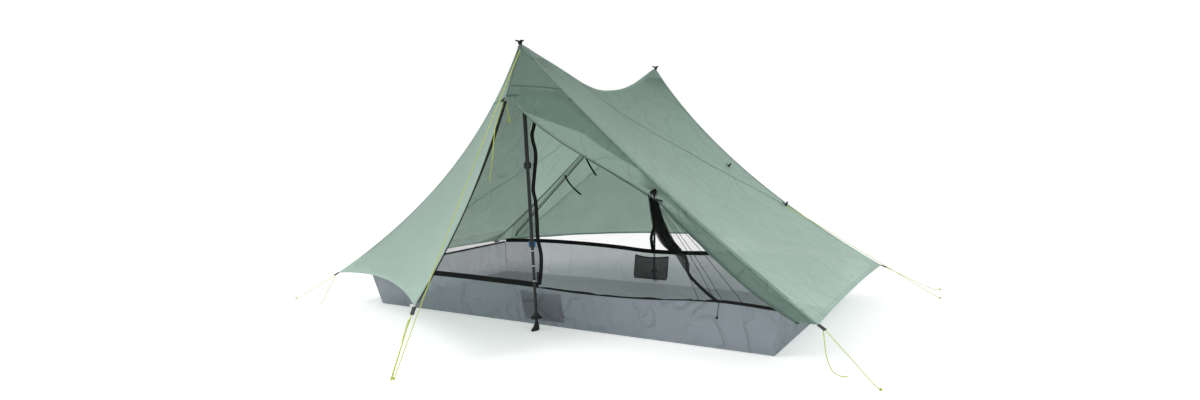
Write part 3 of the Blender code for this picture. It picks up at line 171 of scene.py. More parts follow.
# Guy lines, from where they leave the tent, as in the model
ROUTES = {
    "near_peak_line": [
        (0.0108, -0.6891, 1.2676), (-0.002, -0.86, 0.995), (-0.018, -1.06, 0.665),
        (-0.033, -1.27, 0.307), (-0.039, -1.39, 0.101), (-0.041, -1.446, 0.006),
    ],
    "far_peak_line": [
        (0.0061, 0.6882, 1.2684), (0.028, 0.875, 0.977), (0.05, 1.075, 0.652),
        (0.07, 1.285, 0.298), (0.08, 1.405, 0.098), (0.085, 1.462, 0.004),
    ],
    "near_door_line": [
        (-0.0597, -1.3262, 0.2175), (-0.059, -1.368, 0.146), (-0.057, -1.423, 0.046),
        (-0.055, -1.446, 0.0075), (-0.052, -1.453, 0.004), (-0.049, -1.447, 0.009),
        (-0.05, -1.429, 0.042), (-0.053, -1.376, 0.142), (-0.056, -1.344, 0.2),
        (-0.062, -1.34, 0.2), (-0.069, -1.346, 0.18), (-0.076, -1.357, 0.14),
        (-0.08, -1.363, 0.113),
    ],
    "far_door_line": [
        (0.0635, 1.3281, 0.1778), (0.068, 1.375, 0.108), (0.076, 1.434, 0.019),
        (0.079, 1.448, 0.004),
    ],
    "near_left_corner_line": [
        (-1.3265, -0.675, 0.164), (-1.41, -0.678, 0.122), (-1.53, -0.683, 0.061),
        (-1.625, -0.687, 0.014), (-1.662, -0.688, 0.003),
    ],
    "near_left_tail": [
        (-1.3191, -0.6748, 0.1643), (-1.324, -0.68, 0.15), (-1.348, -0.69, 0.11),
        (-1.376, -0.7, 0.06), (-1.402, -0.709, 0.012), (-1.441, -0.715, 0.002),
    ],
    "near_right_corner_line": [
        (1.3245, -0.684, 0.164), (1.372, -0.704, 0.125), (1.44, -0.733, 0.069),
        (1.492, -0.755, 0.024), (1.524, -0.768, 0.003),
    ],
    "near_right_tail": [
        (1.317, -0.6812, 0.1649), (1.319, -0.684, 0.145), (1.329, -0.687, 0.07),
        (1.348, -0.683, 0.02), (1.373, -0.678, 0.003), (1.403, -0.674, 0.002),
    ],
    "far_right_corner_line": [
        (1.315, 0.6975, 0.166), (1.373, 0.778, 0.121), (1.456, 0.895, 0.056),
        (1.518, 0.982, 0.011), (1.549, 1.026, 0.002),
    ],
    "far_left_corner_line": [
        (-1.315, 0.6975, 0.166), (-1.373, 0.778, 0.121), (-1.456, 0.895, 0.056),
        (-1.518, 0.982, 0.011), (-1.549, 1.026, 0.002),
    ],
    "right_slope_line": [
        (0.8359, 0.5374, 0.493), (1.02, 0.6002, 0.371), (1.203, 0.663, 0.246),
        (1.387, 0.726, 0.123), (1.525, 0.773, 0.031), (1.569, 0.788, 0.003),
    ],
    "door_loose_line": [
        (-0.0412, -0.7514, 1.0475), (-0.0397, -0.7922, 0.976), (-0.015, -0.8414, 0.9398),
        (0.0, -0.868, 0.92), (0.01, -0.892, 0.865), (0.012, -0.906, 0.8),
        (0.012, -0.93, 0.7),
    ],
}

# The gathered mesh at the toggle, as (x, height): its folds, its tail, its creases' feet and its pull cord
BUNCH_PATH = ((0.600, 0.648), (0.613, 0.570), (0.634, 0.500), (0.668, 0.440), (0.716, 0.394))
BUNCH_WIDTHS = (0.032, 0.040, 0.046, 0.046, 0.034)
BUNCH_TAIL = (
    ((0.694, 0.402), (0.752, 0.388)), ((0.716, 0.368), (0.766, 0.350)),
    ((0.738, 0.334), (0.764, 0.318)), ((0.766, 0.299), (0.770, 0.300)),
)
CREASE_FEET = (0.80, 0.872, 0.905, 0.990)
PULL_PATH = ((0.889, 0.215), (0.890, 0.196), (0.886, 0.172), (0.881, 0.142))

# The photograph's camera: where it stands, its yaw, pitch and roll in degrees, and its lens over its width
CAMERA_PLACE = (1.89963, -3.18293, 0.83871)
CAMERA_ANGLES = (-30.967, -4.43785, -1.40520)
CAMERA_LENS = 695.874 / 1200
SKY_STRENGTH = 0.78


# Materials

class Value:
    """One output of a material's nodes. Python's arithmetic on it adds Math nodes."""

    def __init__(self, finish, socket):
        self.finish = finish
        self.socket = socket

    def math(self, operation, *others):
        return self.finish.add("ShaderNodeMath", {"operation": operation}, dict(enumerate((self, *others))))

    def __add__(self, other):
        return self.math("ADD", other)

    def __sub__(self, other):
        return self.math("SUBTRACT", other)

    def __rsub__(self, other):
        return self.finish.add("ShaderNodeMath", {"operation": "SUBTRACT"}, {0: other, 1: self})

    def __mul__(self, other):
        return self.math("MULTIPLY", other)

    __radd__ = __add__
    __rmul__ = __mul__

    def above(self, level):
        """1 where the value is over a level, and 0 elsewhere."""
        return self.math("GREATER_THAN", level)


class Finish:
    """A material with one Principled surface, and the one way in which nodes are added to it."""

    def __init__(self, name, slot, **sockets):
        self.material = bpy.data.materials.new(name)
        self.material.use_nodes = True
        self.slot = slot
        self.tree = self.material.node_tree
        self.surface = self.tree.nodes["Principled BSDF"]
        self.set(sockets)

    def add(self, kind, settings=None, sockets=None, output=0):
        """Add a node and hand back one of its outputs."""
        node = self.tree.nodes.new(kind)
        for name, value in (settings or {}).items():
            setattr(node, name, value)
        for name, value in (sockets or {}).items():
            self.give(node.inputs[name], value)
        return Value(self, node.outputs[output])

    def give(self, socket, value):
        """Link a value to a socket, or set a plain number or colour on it."""
        if isinstance(value, Value):
            self.tree.links.new(value.socket, socket)
        else:
            socket.default_value = value

    def set(self, sockets):
        """Give values to sockets of the Principled surface, by name with _ for a space."""
        for name, value in sockets.items():
            self.give(self.surface.inputs[name.replace("_", " ")], value)

    def place(self):
        """Where a point is on the object, in metres."""
        return self.add("ShaderNodeTexCoord", output="Object")

    def height(self):
        """How high a point is on the object, in metres."""
        return self.add("ShaderNodeSeparateXYZ", sockets={0: self.place()}, output=2)

    def base(self):
        """The colour that the surface has so far."""
        return Value(self, self.surface.inputs["Base Color"].links[0].from_socket)

    def cloth_place(self):
        """How far a point is along and across its piece, in metres, as two values."""
        uv = self.add("ShaderNodeUVMap", {"uv_map": "cut"})
        split = self.add("ShaderNodeSeparateXYZ", sockets={0: uv})
        return split, Value(self, split.socket.node.outputs[1])

    def clouds(self, scale, detail=2.0, roughness=0.5):
        """Smooth unevenness from 0 to 1."""
        return self.add("ShaderNodeTexNoise", None, {
            "Vector": self.place(), "Scale": scale, "Detail": detail, "Roughness": roughness})

    def blend(self, first, second, share):
        """A colour between two colours."""
        return self.add("ShaderNodeMix", {"data_type": "RGBA"}, {0: share, 6: first, 7: second}, 2)

    def share(self, value):
        """A value held between 0 and 1."""
        return value.math("MAXIMUM", 0.0).math("MINIMUM", 1.0)

    def waves(self, distance, pitch):
        """A sine of a distance, from 0 to 1, with one wave in each pitch."""
        return (distance * (math.tau / pitch)).math("SINE") * 0.5 + 0.5

    def bump(self, height, depth):
        """Bump the surface by a height of 0 to 1, and hand back the bumped normal."""
        normal = self.add("ShaderNodeBump", None, {"Height": height, "Distance": depth, "Strength": 1.0})
        self.set({"Normal": normal})
        return normal


def paint(red, green, blue):
    """A colour as it looks on a screen, 0 to 255, as the shader wants it."""
    return tuple(((c / 255 + 0.055) / 1.055) ** 2.4 if c > 10 else c / 255 / 12.92
                 for c in (red, green, blue)) + (1.0,)


# Painted shade on the sage film: the height where it starts to deepen towards the ridge and how fast, and how far the
# painted shade reaches around each peak
RIDGE_SHADE_FROM, RIDGE_SHADE_RATE = 0.42, 1.25
PEAK_SHADE_SPREAD = 0.24
CREASE_DEPTH = 0.08


def film(name, pale, dark, clear, through, sheen=0.45, high=None, depth=0.0060, slot="fly_film"):
    """Coated see-through film: a little light passes, most of it is scattered inside the cloth. With a
    second colour for high, painted shade darkens it towards the ridge, and again at the peaks, where it is doubled
    and the grips stand behind it."""
    made = Finish(name, slot, Roughness=sheen, Specular_IOR_Level=0.35)
    place = made.place()
    broad = made.clouds(3.0, 2.0)
    fine = made.clouds(38.0, 4.0, 0.6)
    colour = made.blend(dark, pale, broad * 0.65 + fine * 0.35)
    if high:
        # Painted shade: darker towards the ridge
        colour = made.blend(colour, high, made.share((made.height() - RIDGE_SHADE_FROM) * RIDGE_SHADE_RATE))
        # Painted shade around each peak, where the film is doubled and the grip stands behind it
        for side, _ in SIDES:
            away = made.add("ShaderNodeVectorMath", {"operation": "DISTANCE"}, {
                0: place, 1: (0, -side * PEAK_REACH, PEAK_HEIGHT)}, 1)
            colour = made.blend(colour, PEAK_SHADE_COLOUR, made.share((PEAK_SHADE_SPREAD - away) * 5.5) * 0.75)
    made.set({"Base_Color": colour, "Alpha": 1 - clear - (fine - 0.5) * 0.06})
    bent = made.add("ShaderNodeVectorMath", {"operation": "MULTIPLY_ADD"}, {
        0: made.add("ShaderNodeTexNoise", None, {"Vector": place, "Scale": 5.0, "Detail": 2.0}, 1),
        1: (0.30, 0.30, 0.30), 2: place})
    drawn = made.add("ShaderNodeVectorMath", {"operation": "MULTIPLY"}, {0: bent, 1: (4.0, 9.0, 2.6)})
    creases = made.add("ShaderNodeTexVoronoi", {"feature": "DISTANCE_TO_EDGE"}, {
        "Vector": drawn, "Scale": 1.0}).math("MINIMUM", CREASE_DEPTH)
    normal = made.bump(creases * 8.0 + fine * 0.3 + broad * 1.5, depth)
    glow = made.add("ShaderNodeBsdfTranslucent", None, {"Color": colour, "Normal": normal})
    mixed = made.add("ShaderNodeMixShader", None, {
        0: through, 1: Value(made, made.surface.outputs[0]), 2: glow})
    made.give(made.tree.nodes["Material Output"].inputs["Surface"], mixed)
    return made


def netting(name, cover):
    """Fine black netting: dark threads with holes between them."""
    made = Finish(name, "black_mesh", Roughness=0.75, Specular_IOR_Level=0.2)
    along, across = made.cloth_place()
    threads = made.waves(along + across, 0.0023) * made.waves(along - across, 0.0023)
    uneven = made.clouds(7.0, 3.0)
    made.set({
        "Base_Color": made.blend((0.004, 0.006, 0.005, 1), (0.020, 0.025, 0.022, 1), uneven),
        "Alpha": cover + (uneven - 0.5) * 0.18 + (0.25 - threads) * 0.20,
    })
    made.bump(threads, 0.0004)
    return made


def woven(name, slot, dark, pale, rib, sheen):
    """Woven tape: ribs across it, a line of stitches near each edge and paler worn threads."""
    made = Finish(name, slot, Roughness=sheen, Specular_IOR_Level=0.18)
    along, across = made.cloth_place()
    ribs = made.waves(along, rib) * 0.6 + made.waves(across, rib * 0.8) * 0.4
    # Woven tape: ribs across it, a line of stitches near each edge and paler threads where it is rubbed.
    wear = made.clouds(90.0, 4.0, 0.7)
    made.set({"Base_Color": made.blend(dark, pale, ribs * 0.35 + (wear - 0.35) * 0.8)})
    made.bump(ribs * 0.7 + wear * 0.5, 0.0005)
    return made


def rolled_film(name):
    """Film of the rolled door: painted shade makes it deep where it lies behind more film; the round of the roll
    is pale, single film with a painted highlight, with painted highlights on its crumples; a painted shade line runs
    where the roll starts."""
    # Base colours: the painted shade of film that lies behind more film
    made = film(name, (0.195, 0.295, 0.25, 1), (0.115, 0.185, 0.15, 1), 0.06, 0.25)
    along, across = made.cloth_place()
    crumple = made.clouds(26.0, 3.0, 0.65)
    flat_edge = made.share((across - 0.50) * 6.0) * 0.125 - made.share((across - 0.13) * 7.4) * 0.155 - 0.010
    # The round of the roll is pale: single film, and a painted highlight
    round_part = made.share((along - flat_edge) * 50.0) * made.share((0.98 - across) * 6.0)
    # Painted highlights on the crumples of the roll
    crumple_highlight = made.share((crumple - 0.58) * 8.0) * 0.5
    colour = made.blend(made.base(), (0.40, 0.535, 0.465, 1), round_part * 0.58 + crumple_highlight * 0.20)
    # A painted shade line where the roll starts
    edge = made.share(1.6 - (along - 0.018).math("ABSOLUTE") * 150.0)
    made.set({"Base_Color": made.blend(colour, (0.10, 0.155, 0.13, 1), edge * 0.8)})
    return made


def stitched_film(name, clear, pale, dark):
    """Doubled film along a seam or hem, with its rows of thread."""
    made = film(name, pale, dark, clear, 0.25)
    along, across = made.cloth_place()
    thread = made.waves(along, 0.0045).above(0.45) * made.waves(across, 0.006).above(0.93)
    made.set({"Base_Color": made.blend(made.base(), paint(92, 112, 101), thread * 0.75)})
    return made


def braided(name, slot, pale, dark):
    """Braided cord: strands that cross in a fine zigzag."""
    made = Finish(name, slot, Roughness=0.6, Specular_IOR_Level=0.3)
    along, across = made.cloth_place()
    strands = made.waves(along + across * 2.0, 0.0028) * 0.5 + made.waves(along - across * 2.0, 0.0028) * 0.5
    grain = made.clouds(320.0, 2.0)
    made.set({"Base_Color": made.blend(dark, pale, strands * 0.45 + grain * 0.55)})
    made.bump(strands, 0.0004)
    return made


def moulded(name, slot, dark, pale, sheen, grain=240.0):
    """Moulded plastic or rubber: fine grain, and paler scuffs."""
    made = Finish(name, slot, Specular_IOR_Level=0.45)
    fine = made.clouds(grain, 3.0, 0.6)
    scuffs = made.clouds(34.0, 5.0, 0.75)
    made.set({
        "Base_Color": made.blend(dark, pale, (scuffs - 0.42) * 2.2 + fine * 0.15),
        "Roughness": fine * 0.18 + (sheen - 0.09) + (scuffs - 0.5) * 0.15,
    })
    made.bump(fine, 0.0003)
    return made


def drawn_tube(name, marks=()):
    """Painted pole tube: long draw lines, a few scuffs, and pale length marks at some heights."""
    made = Finish(name, "black_shaft", Metallic=0.2, Coat_Weight=0.2, Coat_Roughness=0.2)
    height = made.height()
    scuffs = made.clouds(60.0, 5.0, 0.75)
    colour = made.blend((0.005, 0.008, 0.008, 1), (0.028, 0.036, 0.034, 1), (scuffs - 0.4) * 1.6)
    for level in marks:
        band = (height - level).math("ABSOLUTE")
        colour = made.blend(colour, paint(205, 214, 208), 1 - band.above(0.0022))
    made.set({"Base_Color": colour, "Roughness": scuffs * 0.25 + 0.22})
    made.bump(scuffs, 0.0002)
    return made


# Colour of the painted shade at the peaks. Each film's high colour is its painted shade towards the ridge.
PEAK_SHADE_COLOUR = (0.13, 0.20, 0.165, 1)
FILM = film("sage_film", (0.598, 0.772, 0.675, 1), (0.483, 0.656, 0.560, 1), 0.05, 0.42,
            high=(0.25, 0.355, 0.30, 1))
# The left slope's copy of the sage film, painted darker than the right slope's over most of it: painted shade
LEFT_SHADED_FILM = film("sage_film_left_shaded", (0.56, 0.735, 0.64, 1), (0.45, 0.615, 0.53, 1), 0.05, 0.38,
                 high=(0.28, 0.395, 0.335, 1))
# The near door's copy of the sage film, painted darker than the right slope's: painted shade
DOOR_FILM = film("sage_film_door", (0.49, 0.645, 0.565, 1), (0.415, 0.56, 0.485, 1), 0.06, 0.42,
                 high=(0.37, 0.50, 0.435, 1), depth=0.0028)
# The far door's copy of the sage film, painted darker than the right slope's: painted shade
FAR_FILM = film("sage_film_far", (0.52, 0.69, 0.60, 1), (0.42, 0.575, 0.495, 1), 0.05, 0.36,
                depth=0.0028)
HEM = stitched_film("sage_film_hem", 0.04, (0.53, 0.70, 0.61, 1), (0.45, 0.60, 0.525, 1))
SHADED = film("sage_film_over_film", (0.235, 0.335, 0.29, 1), (0.165, 0.245, 0.205, 1), 0.08, 0.27,
              depth=0.0032)
DOUBLED = stitched_film("sage_film_doubled", 0.08, (0.30, 0.44, 0.37, 1), (0.24, 0.36, 0.30, 1))
# Reinforcing patches at the peaks and the hood's top: doubled film, painted darker still as painted shade of the
# grips behind them
PATCH = film("sage_patch", (0.20, 0.30, 0.25, 1), (0.14, 0.22, 0.19, 1), 0.03, 0.15)
LINING = film("sage_lining", (0.30, 0.43, 0.36, 1), (0.22, 0.33, 0.27, 1), 0.12, 0.30)
TUB_FILM = film("grey_film", (0.54, 0.57, 0.64, 1), (0.41, 0.435, 0.50, 1), 0.40, 0.45, 0.26,
                depth=0.0120, slot="floor_film")
NET = netting("black_netting", 0.17)
NEAR_NET = netting("black_netting_near", 0.36)
# Netting of the pocket and the bunch tail: doubled netting, with a denser cover still that stands as painted shade
# inside the pocket
POCKET_NET = netting("black_netting_pocket", 0.86)
DENSE_NET = netting("black_netting_gathered", 0.80)
ROLLED = rolled_film("sage_film_rolled")
SEAM = stitched_film("sage_film_seam", 0.03, (0.12, 0.19, 0.155, 1), (0.08, 0.13, 0.105, 1))
PALE_TAPE = woven("pale_tape", "fly_film", (0.62, 0.66, 0.64, 1), (0.82, 0.85, 0.83, 1), 0.0016, 0.62)
TAPE = woven("black_tape", "black_tape", (0.003, 0.004, 0.004, 1), (0.022, 0.026, 0.025, 1), 0.0016, 0.72)
COIL = moulded("zip_teeth", "black_tape", (0.004, 0.005, 0.005, 1), (0.030, 0.034, 0.034, 1), 0.45)
LIME = braided("lime_cord", "lime_cord", paint(214, 224, 84), paint(160, 176, 44))
HARD = moulded("black_plastic", "black_plastic", (0.005, 0.006, 0.006, 1), (0.032, 0.036, 0.036, 1), 0.45)
BLUE = moulded("blue_plastic", "blue_plastic", paint(30, 112, 190), paint(80, 152, 218), 0.35)
FOAM = moulded("black_foam", "black_foam", (0.006, 0.008, 0.008, 1), (0.030, 0.034, 0.033, 1), 0.85, 700.0)
RUBBER = moulded("black_rubber", "black_rubber", (0.010, 0.010, 0.010, 1), (0.05, 0.05, 0.048, 1), 0.75)
SHAFT = drawn_tube("black_shaft")
MARKED_SHAFT = drawn_tube("black_shaft_marked", (0.369, 0.229, 0.299))


# Curves and surfaces of the tent, near side. hand is -1 to the left and 1 to the right.

def shares(count, start=0.0, end=1.0):
    """Evenly spread shares from start to end."""
    return [start + (end - start) * k / count for k in range(count + 1)]


def between(p0, p1, p2, p3, s):
    """The share s of the way from p1 to p2, on a smooth curve through four values or points."""
    return 0.5 * (2 * p1 + (p2 - p0) * s + (2 * p0 - 5 * p1 + 4 * p2 - p3) * s * s
                  + (3 * p1 - p0 - 3 * p2 + p3) * s ** 3)


def arch(share):
    """0 at both ends of an edge and 1 in its middle."""
    return 4 * share * (1 - share)


def turn(point, side):
    """The same place on the near side (1) or, after half a turn about Z, on the far side (-1)."""
    return Vector((side * point.x, side * point.y, point.z))


def reading(table, x):
    """Smooth reading of a table of (place, value) pairs."""
    table = sorted(table)
    if x <= table[0][0]:
        return table[0][1]
    slopes = [(b[1] - a[1]) / (b[0] - a[0]) for a, b in zip(table, table[1:])]
    for k, ((x0, v0), (x1, v1)) in enumerate(zip(table, table[1:])):
        if x <= x1:
            before = (slopes[max(k - 1, 0)] + slopes[k]) / 2
            after = (slopes[k] + slopes[min(k + 1, len(slopes) - 1)]) / 2
            s, gap = (x - x0) / (x1 - x0), x1 - x0
            return (v0 * (1 + 2 * s) * (1 - s) ** 2 + v1 * s * s * (3 - 2 * s)
                    + gap * (before * s * (1 - s) ** 2 - after * s * s * (1 - s)))
    return table[-1][1]


def unevenness(place, reach, seed=0.0):
    """Smooth unevenness from -1 to 1, with bumps about as wide as reach."""
    return noise.noise(Vector(place) / reach + Vector((seed, 2 * seed, 3 * seed)))


def seam(t, hand):
    """The seam between an end slope and a door, from peak to corner."""
    corner = Vector((hand * CORNER_REACH_X, -CORNER_REACH_Y, CORNER_HEIGHT))
    bow = Vector((-hand * SEAM_BOW_IN, SEAM_BOW_ACROSS, -SEAM_BOW_DOWN))
    return PEAK.lerp(corner, t) + arch(t) * bow


def door_arc(side):
    """Middle and direction of the chord of the doors' round middle line, its sag, the way across it, its
    radius and its half angle."""
    peg = Vector((-PEG_SIDE, -PEG_REACH, NEAR_PEG_HEIGHT if side > 0 else FAR_PEG_HEIGHT))
    chord = peg - PEAK
    along = chord.normalized()
    inward = X.cross(along).normalized()
    sideways = along.cross(inward)
    sideways = sideways if sideways.x > 0 else -sideways
    sag = inward * DOOR_EDGE_SAG + sideways * DOOR_EDGE_LEAN
    across = (sideways - sag * sideways.dot(sag) / sag.length_squared).normalized()
    radius = chord.length_squared / sag.length / 8 + sag.length / 2
    return (PEAK + peg) / 2, along, sag, across, radius, math.asin(chord.length / radius / 2)


def door_middle(t, side):
    """The line down the middle of the two doors: a round arc from peak to peg."""
    middle, along, sag, _, radius, half_angle = door_arc(side)
    angle = half_angle * (2 * t - 1)
    inward = sag.normalized()
    centre = middle + sag - inward * radius
    return centre + (along * math.sin(angle) + inward * math.cos(angle)) * radius


def door_edge(t, hand, side):
    """The edge of one door beside the zip."""
    return door_middle(t, side) + door_arc(side)[3] * hand * (STORM_TAPE_WIDTH / 2 + GAP)


def door_hem(w, hand, side):
    """The bottom hem of a door, from corner to peg."""
    bow = Vector((-hand * HEM_BOW_IN, HEM_BOW_ACROSS, HEM_BOW_UP))
    return seam(1, hand).lerp(door_edge(1, hand, side), w) + arch(w) * bow


def door_point(t, w, hand, side):
    """A door's even surface: t goes down the seam and w goes from the seam to the zip."""
    ruled = seam(t, hand).lerp(door_edge(t, hand, side), w)
    straight = seam(1, hand).lerp(door_edge(1, hand, side), w)
    return ruled + t * (door_hem(w, hand, side) - straight)


def ridge_point(v):
    """The ridge between the two end slopes, from the near peak to the far one."""
    steps = len(RIDGE_SHARES) - 1
    place = min(max(v, 0), 1) * steps
    step = min(int(place), steps - 1)
    dip = between(*(RIDGE_SHARES[min(max(step + k, 0), steps)] for k in (-1, 0, 1, 2)), place - step)
    return Vector((0, PEAK_REACH * (2 * v - 1), PEAK_HEIGHT - RIDGE_DIP * max(dip, 0)))


def slope_point(u, v, hand):
    """An end slope's even surface: u goes from ridge to hem and v from the near to the far side."""
    near = seam(u, hand)
    far = Vector((near.x, -near.y, near.z))
    reach = CORNER_REACH_Y * (2 * v - 1)
    hem = Vector((hand * CORNER_REACH_X, reach, CORNER_HEIGHT + END_HEM_RISE * arch(v)))
    top = Vector((0, PEAK_REACH * (2 * v - 1), PEAK_HEIGHT))
    bottom = Vector((hand * CORNER_REACH_X, reach, CORNER_HEIGHT))
    return near.lerp(far, v) + ridge_point(v).lerp(hem, u) - top.lerp(bottom, u)


def upward_normal(surface, a, b):
    """Unit normal of a surface of two shares, turned upwards."""
    along = surface(a + 0.01, b) - surface(a - 0.01, b)
    across = surface(a, b + 0.01) - surface(a, b - 0.01)
    normal = along.cross(across).normalized()
    return normal if normal.z > 0 else -normal


def fan_folds(place, corner, across, count, reach, height):
    """Tension folds that fan out of a corner and die away."""
    offset = place - corner
    distance = offset.length
    if distance < 1e-6:
        return 0.0
    angle = math.acos(max(-1, min(1, offset.normalized().dot(across))))
    return height * math.sin(count * angle) * math.exp(-distance / reach) * min(distance / 0.08, 1)


def crease(place, start, end, width, height):
    """A pulled crease between two places of the cloth, read from above."""
    line = (end - start).to_2d()
    share = max(0, min(1, (place - start).to_2d().dot(line) / line.length_squared))
    away = ((place - start).to_2d() - line * share).length
    return height * math.exp(-(away / width) ** 2) * min(1, 6 * share, 6 * (1 - share))


def slope_relief(u, v, hand):
    """How far an end slope's cloth stands off its even surface."""
    place = slope_point(u, v, hand)
    held = min(1, 9 * v, 9 * (1 - v), 7 * u, 9 * (1 - u))
    relief = 0.0045 * unevenness((place.x, place.y * 2.2, place.z), 0.42, 3.1 * hand)
    relief += 0.0016 * unevenness((place.x * 0.7, place.y * 3.0, place.z), 0.11, 7.7 * hand)
    for corner_v in (0, 1):
        corner = slope_point(1, corner_v, hand)
        relief += fan_folds(place, corner, Y, 16, 0.26, 0.0042)
        peak = slope_point(0, corner_v, hand)
        relief += fan_folds(place, peak, Y, 12, 0.22, 0.0035)
    start, end = Vector((0.10 * hand, 0.02 * hand, 0)), Vector((0.86 * hand, 0.55 * hand, 0))
    relief += crease(place, start, end, 0.018, 0.0052) - crease(place, start, end, 0.055, 0.0030)
    return relief * held


def slope_place(u, v, hand, lift=0.0):
    """A place on an end slope as its cloth lies."""
    normal = upward_normal(lambda a, b: slope_point(a, b, hand), u, v)
    return slope_point(u, v, hand) + normal * (slope_relief(u, v, hand) + lift)


def door_relief(t, w, hand, side):
    """How far a door's cloth stands off its even surface."""
    place = door_point(t, w, hand, side)
    held = min(1, 10 * w, 12 * (1 - w), 9 * (1 - t))
    relief = 0.0040 * unevenness((place.x * 2.2, place.y, place.z), 0.38, 5.3 * hand + side)
    relief += 0.0014 * unevenness((place.x * 3.0, place.y, place.z * 0.8), 0.10, 9.1 * hand + side)
    relief += fan_folds(place, door_edge(1, hand, side), X, 18, 0.24, 0.0046)
    relief += fan_folds(place, seam(1, hand), Vector((0, -1, 0)), 15, 0.24, 0.0042)
    relief += fan_folds(place, seam(0, hand), X, 14, 0.20, 0.0030)
    return relief * max(held, 0)


def door_place(t, w, hand, side, lift=0.0):
    """A place on a door as its cloth lies, on its own side of the tent."""
    normal = upward_normal(lambda a, b: door_point(a, b, hand, side), max(t, 0.02), w)
    return turn(door_point(t, w, hand, side) + normal * (door_relief(t, w, hand, side) + lift), side)


def fold_point(share, side):
    """The straight line that the free door folds about, from the zip's stop to the hem."""
    return door_edge(STOP, 1, side).lerp(door_hem(FOLD_END_SHARE, 1, side), share)


def fold_normal(side):
    """Outward normal of the free door along its fold."""
    line = fold_point(1, side) - fold_point(0, side)
    normal = line.cross(door_edge(1, 1, side) - fold_point(0, side)).normalized()
    return normal if normal.z > 0 else -normal


def fold_across(side):
    """Direction in the cloth from the fold towards the zip."""
    line = (fold_point(1, side) - fold_point(0, side)).normalized()
    across = line.cross(fold_normal(side))
    return across if across.dot(door_edge(1, 1, side) - fold_point(1, side)) > 0 else -across


def wall_table(side):
    """Wave of the top of a long wall as (place, height) shares, read in the near frame."""
    if side > 0:
        return NEAR_WALL_SHARES
    return tuple((-x, value) for x, value in reversed(FAR_WALL_SHARES))


def wall_top(x, side):
    """Top of a long wall at x, near frame."""
    height = WALL_HEIGHT + WALL_WAVE * reading(wall_table(side), x / HALF_LENGTH)
    return Vector((x, -FLOOR_WIDTH / 2 - WALL_LEAN * height / WALL_HEIGHT + SHEET / 2, height))


def sill_rise(width, side, x):
    """The sill tape's top edge at x, near frame."""
    foot = wall_top(x, side)
    return Vector((x, foot.y - WALL_LEAN / WALL_HEIGHT * (width + GAP), foot.z + GAP + width))


def seam_offset(t, hand, side):
    """Half the solid cloth's thickness at the seam, along the mitre of slope and door."""
    slope = upward_normal(lambda a, b: slope_point(a, b, hand), t, 0)
    door = upward_normal(lambda a, b: door_point(a, b, hand, side), max(t, SEAM_SHARES[1]), 0)
    mitre = (slope + door).normalized()
    return mitre * (SHEET / 2) / max(mitre.dot(slope), MITRE_LIMIT)


def seam_under(x, hand, side):
    """Just inside the seam where it passes x."""
    for upper, lower in zip(SEAM_SHARES, SEAM_SHARES[1:]):
        a, b = seam(upper, hand), seam(lower, hand)
        if abs(x) <= abs(b.x):
            break
    share = (abs(x) - abs(a.x)) / (abs(b.x) - abs(a.x))
    inset = seam_offset(upper, hand, side).lerp(seam_offset(lower, hand, side), share)
    return a.lerp(b, share) - inset * (SHEET + SHEET + 2 * CLOTH_CLEARANCE) / SHEET


def cloth_tree(node):
    """A solid's faces, ready to be met by a ray."""
    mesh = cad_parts[node].data
    return BVHTree.FromPolygons([v.co.copy() for v in mesh.vertices], [tuple(f.vertices) for f in mesh.polygons])


def under_cloth(cloths, place, drop):
    """The point above a place that lies the given drop below the cloths' inner faces."""
    hits = [cloth.ray_cast(place, Z)[0] for cloth in cloths]
    return min((hit for hit in hits if hit), key=lambda hit: hit.z) - Vector((0, 0, drop))


def mesh_top(x, hand, side):
    """Top of a mesh wall under the seam, or under the slopes close to the peak."""
    first = abs(seam(APEX_MESH, hand).x)
    if abs(x) >= first:
        return seam_under(x, hand, side)
    reach = seam_under(hand * first, hand, side).y
    y = -MESH_PEAK_REACH + (reach + MESH_PEAK_REACH) * abs(x) / first
    below = turn(Vector((x, y, PEAK_HEIGHT / 2)), side)
    return turn(under_cloth(CLOTHS[side], below, SHEET + CLOTH_CLEARANCE), side)


def fold_line(x, hand):
    """The straight line that the mesh door folds about, at x, near frame."""
    share = (abs(x) - UPRIGHT_TAPE / 2) / (MESH_DOOR_LENGTH - UPRIGHT_TAPE / 2)
    start = Vector((hand * UPRIGHT_TAPE / 2, -FOLD_REACH_IN, FOLD_HEIGHT_IN))
    return start.lerp(Vector((hand * MESH_DOOR_LENGTH, -FOLD_REACH_OUT, FOLD_HEIGHT_OUT)), share)


CLOTHS = {side: [cloth_tree(node) for node in ("slope_left", "slope_right", door)]
          for side, door in ((1, "storm_door_near_left"), (-1, "storm_door_far_right"))}


# Making pieces

def smooth_path(points, steps=4):
    """Points on one smooth curve through some points."""
    points = [Vector(p) for p in points]
    ends = [2 * points[0] - points[1]] + points + [2 * points[-1] - points[-2]]
    made = [between(*four, k / steps) for four in zip(ends, ends[1:], ends[2:], ends[3:]) for k in range(steps)]
    return made + [points[-1]]


def path_length(points):
    """Length of a line through points."""
    return sum((b - a).length for a, b in zip(points, points[1:]))


def cut_size(rows):
    """Width, length and area that a cloth was cut to, from rows of its points."""
    width = max(path_length(row) for row in rows)
    length = max(path_length(column) for column in zip(*rows))
    area = 0.0
    for upper, lower in zip(rows, rows[1:]):
        for a, b, c, d in zip(upper, upper[1:], lower[1:], lower):
            area += (c - a).cross(d - b).length / 2
    return (width, length), min(area, width * length)


def finished(made, finish, body="tent", nodes=()):
    """Give a piece its material and its body, and hide the solids that it stands for."""
    made.data.materials.append(finish.material)
    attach(made, body)
    if nodes:
        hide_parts(*nodes)
    return made


